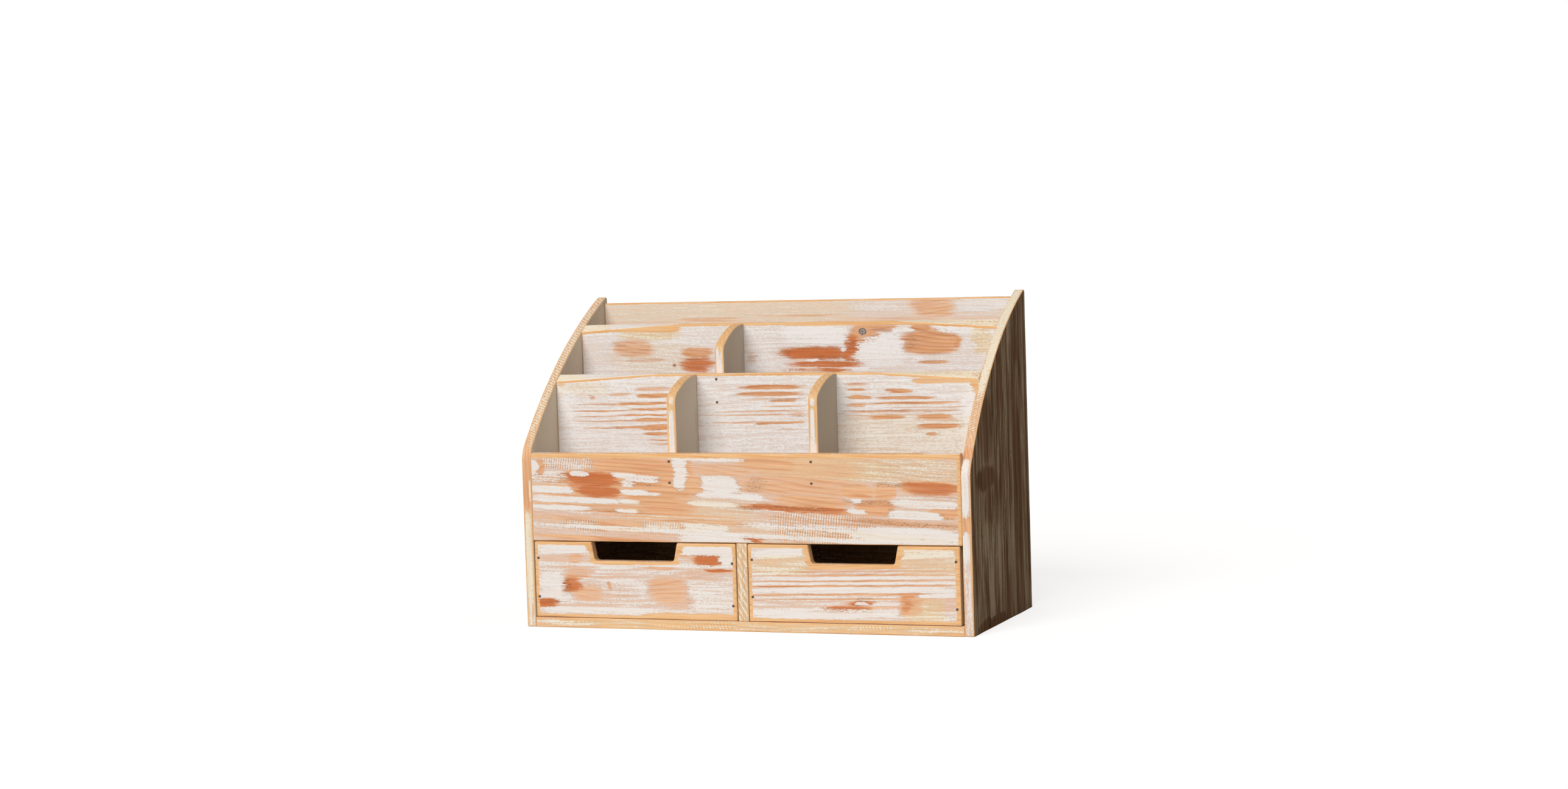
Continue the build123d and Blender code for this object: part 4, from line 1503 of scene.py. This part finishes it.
# side boards
sideBoards = {
    "curveRise": {"left": 152.5, "right": 138.0},  # where the curve would meet the front edge
    "curveTop": 281.2,
    "bulge": {"left": 12.5, "right": 18.5},
    "footRound": 22.0,
    "topRound": 2.5,
    "seed": {"left": 49.0, "right": 51.0},
    "outerSeed": {"left": 54.0, "right": 51.0},
    "outer": {
        "axes": "zyx",
        "low": (0, 0),
        "high": (400, 177),  # past the curve, which has its own rim
        "rim": (1.2, 1.0, 1.2, 1.2),
        "paint": 0.6,
        "flakes": 0.24,
        "wear": 0.9,
        "streaks": 3.4,
        "streakScale": 0.3,
        "clouds": 0.4,
        "ringSpacing": 11.0,
        "darkBorders": 0.2,
        # painted shade on the outer faces
        "shade": 0.88,
        "shine": 0.0,
        "spots": {
            "bare": [
                (0, 245, 93, 96, 0.8), (0, 250, 98, 100.5, 0.8), (0, 250, 103, 104.5, 0.8),
                (60, 255, 107.5, 109, 0.7), (70, 262, 113, 116, 0.7), (118, 136, 18, 70, 0.8),
                (90, 118, 38, 66, 0.5), (140, 195, 34, 64, 0.5), (-2, 9, 15, 92, 0.9),
                (0, 260, 128, 131.5, 0.8), (0, 268, 150, 153, 0.8), (-2, 275, 131, 150, 0.45),
                (0, 280, 168, 172, 0.6), (90, 250, 68, 80, 0.35), (90, 240, 84, 92, 0.45),
                (60, 200, 4, 8, 0.5),
            ],
            "white": [
                (10, 255, 96.6, 98.2, 0.5), (0, 258, 101, 102.6, 0.5), (60, 260, 105, 107, 0.5),
                (10, 90, 20, 90, 0.4), (190, 275, 118, 127, 0.6),
            ],
        },
        # darker, greyer colours than the front: partly the weathered finish of the outer faces, partly
        # painted shade
        "colours": {
            "woodPale": colour(140, 108, 84), "woodDark": colour(98, 74, 56), "paint": colour(192, 173, 149),
            "thinPaint": colour(172, 151, 127), "rim": colour(146, 112, 82), "rimDark": colour(106, 74, 48),
            "border": colour(84, 62, 48), "stain": colour(46, 36, 30),
        },
    },
}
sideEdge = {"axes": "zxy", "low": (0, 0), "high": (282, 8.3), "rimRoughness": 0.5}
sideEdges = {
    "left": {
        **sideEdge,
        "rim": (1.0, 1.0, 1.1, 0.7),
        "seed": 52.0,
        "paint": 0.7,
        "streaks": 0.9,
        "saw": (0.5, 0.16, 0.0),
        "sawDepth": 0.7,
        "darkBorders": 0.2,
        "reach": (7.0, 1.4, 0.0),
        "spots": {
            "bare": [(103, 154, -2, 10, 0.95), (150, 165, -1, 4, 0.5)],
            "white": [
                (12, 104, 1.5, 6.9, 0.8), (109, 131, 5.6, 9, 0.9), (158, 290, 1.2, 7.4, 0.5),
                (0, 12, 2, 9, 0.6),
            ],
            "cream": [(-2, 290, -2, 10, 1.0)],
            "saw": [(156, 295, -4, 12, 0.7)],
        },
    },
    "right": {
        **sideEdge,
        "rim": (1.0, 1.0, 0.4, 0.8),
        "seed": 53.0,
        "paint": 0.64,
        "saw": (0.5, -0.2, 0.0),
        "sawDepth": 0.9,
        "darkBorders": 0.25,
        "reach": (6.0, 1.2, 0.0),
        "spots": {
            "bare": [
                (86, 99, -2, 10, 0.9), (147, 156, -2, 10, 0.9), (60, 86, 6, 9, 0.6),
                (155, 200, -2, 10, 0.2), (10, 86, 6.3, 9, 0.5),
            ],
            "white": [
                (98, 148, 0.4, 6.6, 1.0), (61, 88, 0.2, 6.6, 1.0), (0, 60, 0.5, 6.4, 0.4),
                (190, 300, 0.4, 8.0, 0.9), (160, 215, 1.5, 6.5, 0.5),
            ],
            "cream": [(150, 295, -2, 10, 1.0)],
            "saw": [(152, 295, -4, 12, 1.0)],
            "dark": [(115, 117.4, 5.4, 8, 1.0), (95.2, 97, 1.2, 2.8, 1.0)],
        },
    },
}


def sideOutline(which):
    low, high = nodeBox(which + "_side")
    chosen = sideBoards
    front, back = Vector((low[1], chosen["curveRise"][which])), Vector((high[1], chosen["curveTop"]))
    chord = back - front
    bulge = chosen["bulge"][which]
    radius = (chord.length_squared / 4 + bulge * bulge) / (2 * bulge)
    outward = Vector((-chord.y, chord.x)).normalized()
    centre = (front + back) / 2 - outward * (radius - bulge)
    return curvedOutline(low[1], high[1], low[2], centre, radius, chosen["footRound"], chosen["topRound"])


def makeSide(which, outward):
    node = which + "_side"
    low = nodeBox(node)[0]
    outerOrigin = (faceLevel(node, "yz", outward), low[1], 0)
    outer = {**sideBoards["outer"], "origin": outerOrigin, "seed": sideBoards["outerSeed"][which]}
    outerFinish = woodFinish(which + "SideOuter", withNails(outer, node, "yz", outward))
    edgeFinish = woodFinish(which + "SideEdge", {**sideEdges[which], "origin": (low[0], 0, 0)})
    finishes = (outerFinish, edgeFinish, washUpright)
    if outward > 0:
        finishes = finishes[::-1]
    outline = sideOutline(which)
    chosen = {"plane": "yz", "seed": sideBoards["seed"][which]}
    makeBoard(which + "SideBoard", node, "carcass", outline, finishes, chosen)


makeSide("left", -1)
makeSide("right", 1)
print("panels and sides made")

# dividers
dividerEdge = {
    **warmEdge,
    "axes": "zxy",
    "rim": (0.6, 0.8, 1.3, 1.5),
    "paint": 0.5,
    "rimRoughness": 0.6,
    "reach": (6.0, 1.0, 0.0),
    "saw": (0.4, 0.1, 0.0),
}
# each divider's face is darkened by its shade value: painted shade, darker where it stands in more shade
dividers = {
    "frontLeftDivider": {
        "node": "front_left_divider", "drop": 16.2, "seed": 61.0, "shade": 0.96,
        "spots": {
            "white": [(80, 191, 1.7, 6.8, 1.0), (80, 158, 0.4, 8.2, 0.9), (193, 200, 2.4, 6.2, 0.8)],
            "bare": [(188, 196, -1, 10, 0.8), (196, 218, -1, 10, 0.35)],
            "cream": [(196, 220, -1, 10, 1.0)],
            "saw": [(198, 220, -1, 10, 0.4)],
        },
    },
    "frontRightDivider": {
        "node": "front_right_divider", "drop": 16.2, "seed": 62.0, "shade": 0.74,
        "spots": {
            "white": [(80, 166, 0.2, 7.2, 1.0), (160, 189, 2.2, 5.6, 1.0), (191, 198, 2.6, 6, 0.8)],
            "bare": [
                (158, 194, 6, 9, 1.0), (170, 194, -1, 2, 0.9), (188, 192, -1, 10, 0.7),
                (196, 218, -1, 10, 0.3),
            ],
            "cream": [(196, 220, -1, 10, 1.0)],
        },
    },
    "rearDivider": {
        "node": "rear_divider", "drop": 18.5, "seed": 63.0, "shade": 0.82,
        "spots": {
            "white": [(80, 238, -1, 9, 1.0)],
            "bare": [(237, 260, -1, 10, 0.6)],
            "cream": [(237, 262, -1, 10, 1.0)],
            "saw": [(238, 262, -1, 10, 1.0)],
        },
    },
}


def makeDivider(label, settings):
    node, seed, drop = settings["node"], settings["seed"], settings["drop"]
    low, high = nodeBox(node)
    length = high[1] - low[1]
    radius = (length * length + drop * drop) / (2 * drop)
    outline = curvedOutline(low[1], high[1], low[2], (high[1], high[2] - radius), radius, 8.0, 0.9, 4.0)
    edge = woodFinish(label + "Edge", {
        **dividerEdge, "origin": (low[0], 0, 0), "low": (low[2], 0), "high": (high[2] + 2, high[0] - low[0]),
        "seed": seed, "spots": settings["spots"],
    })
    face = woodFinish(label + "Wash", {**upright, "seed": seed + 20, "shade": settings["shade"]})
    chosen = {"plane": "yz", "seed": seed}
    makeBoard(label + "Board", node, "carcass", outline, (face, edge, face), chosen)


for label, settings in dividers.items():
    makeDivider(label, settings)

# bottom board, shelf and partition
bottomBoard = {
    "board": {"plane": "xy", "seed": 71.0},
    "under": {**plainWash, "axes": "xyz", "seed": 73.0},
    "edge": {
        "axes": "xzy",
        "origin": nodeBox("bottom_board")[0],
        "rim": (0.8, 0.8, 1.2, 1.0),
        "seed": 71.0,
        "paint": 0.42,
        "streaks": 1.6,
        "saw": (0.34, 0.1, 0.0),
        "sawDepth": 0.6,
        "darkBorders": 0.15,
        "reach": (9.0, 1.0, 0.0),
        "spots": {
            "white": [
                (8, 62, 2, 6.5, 0.5), (120, 182, 1.5, 5, 0.3), (290, 330, 4, 8, 0.4),
                (200, 290, 2, 5, 0.2), (340, 380, 2, 7, 0.3),
            ],
            "cream": [(-5, 395, -2, 12, 0.8)],
            "saw": [(118, 184, -1, 9, 1.0), (296, 324, -1, 9, 1.0)],
        },
        "colours": {"woodPale": colour(240, 198, 146), "woodDark": colour(226, 164, 106)},
    },
}
partition = {
    "board": {"plane": "yz", "seed": 72.0, "arris": 0.5},
    "edge": {
        "axes": "zxy",
        "origin": (nodeBox("drawer_partition")[0][0], 0, 0),
        "low": (0, 0),
        "high": (80, 9.4),
        "rim": (0.6, 0.6, 0.5, 0.5),
        "seed": 72.0,
        "paint": 0.05,
        "saw": (0.12, 0.22, 0.0),
        "sawDepth": -0.5,
        "darkBorders": 0.3,
        "reach": (6.0, 1.0, 0.0),
        "spots": {
            "saw": [(0, 80, -2, 12, 0.7)],
            "dark": [(46, 47.4, 1, 9, 0.7), (20, 21, 5, 9, 0.7)],
            "cream": [(0, 80, -1, 11, 0.7)],
        },
        "colours": {"woodPale": colour(234, 198, 154), "woodDark": colour(222, 172, 122)},
    },
}
bottomFinishes = (
    woodFinish("bottomUnder", withNails(bottomBoard["under"], "bottom_board", "xy", -1)),
    woodFinish("bottomEdgeWash", fitRim(bottomBoard["edge"], "bottom_board")),
    washFlat,
)
partitionFinishes = (washUpright, woodFinish("partitionEdgeWood", partition["edge"]), washUpright)
for label, node, finishes, chosen in (
    ("bottomBoard", "bottom_board", bottomFinishes, bottomBoard["board"]),
    ("shelfBoard", "drawer_shelf", (washFlat, edgeAlongX, washFlat), {"plane": "xy", "seed": 74.0}),
    ("partitionBoard", "drawer_partition", partitionFinishes, partition["board"]),
):
    outline = squareOutline(node, chosen["plane"])
    makeBoard(label, node, "carcass", outline, finishes, chosen)
print("dividers, bottom, shelf and partition made")

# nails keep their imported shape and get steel
steel = nailSteel()
for name in nailNodes:
    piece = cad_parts[name]
    piece.data.materials.clear()
    piece.data.materials.append(steel)
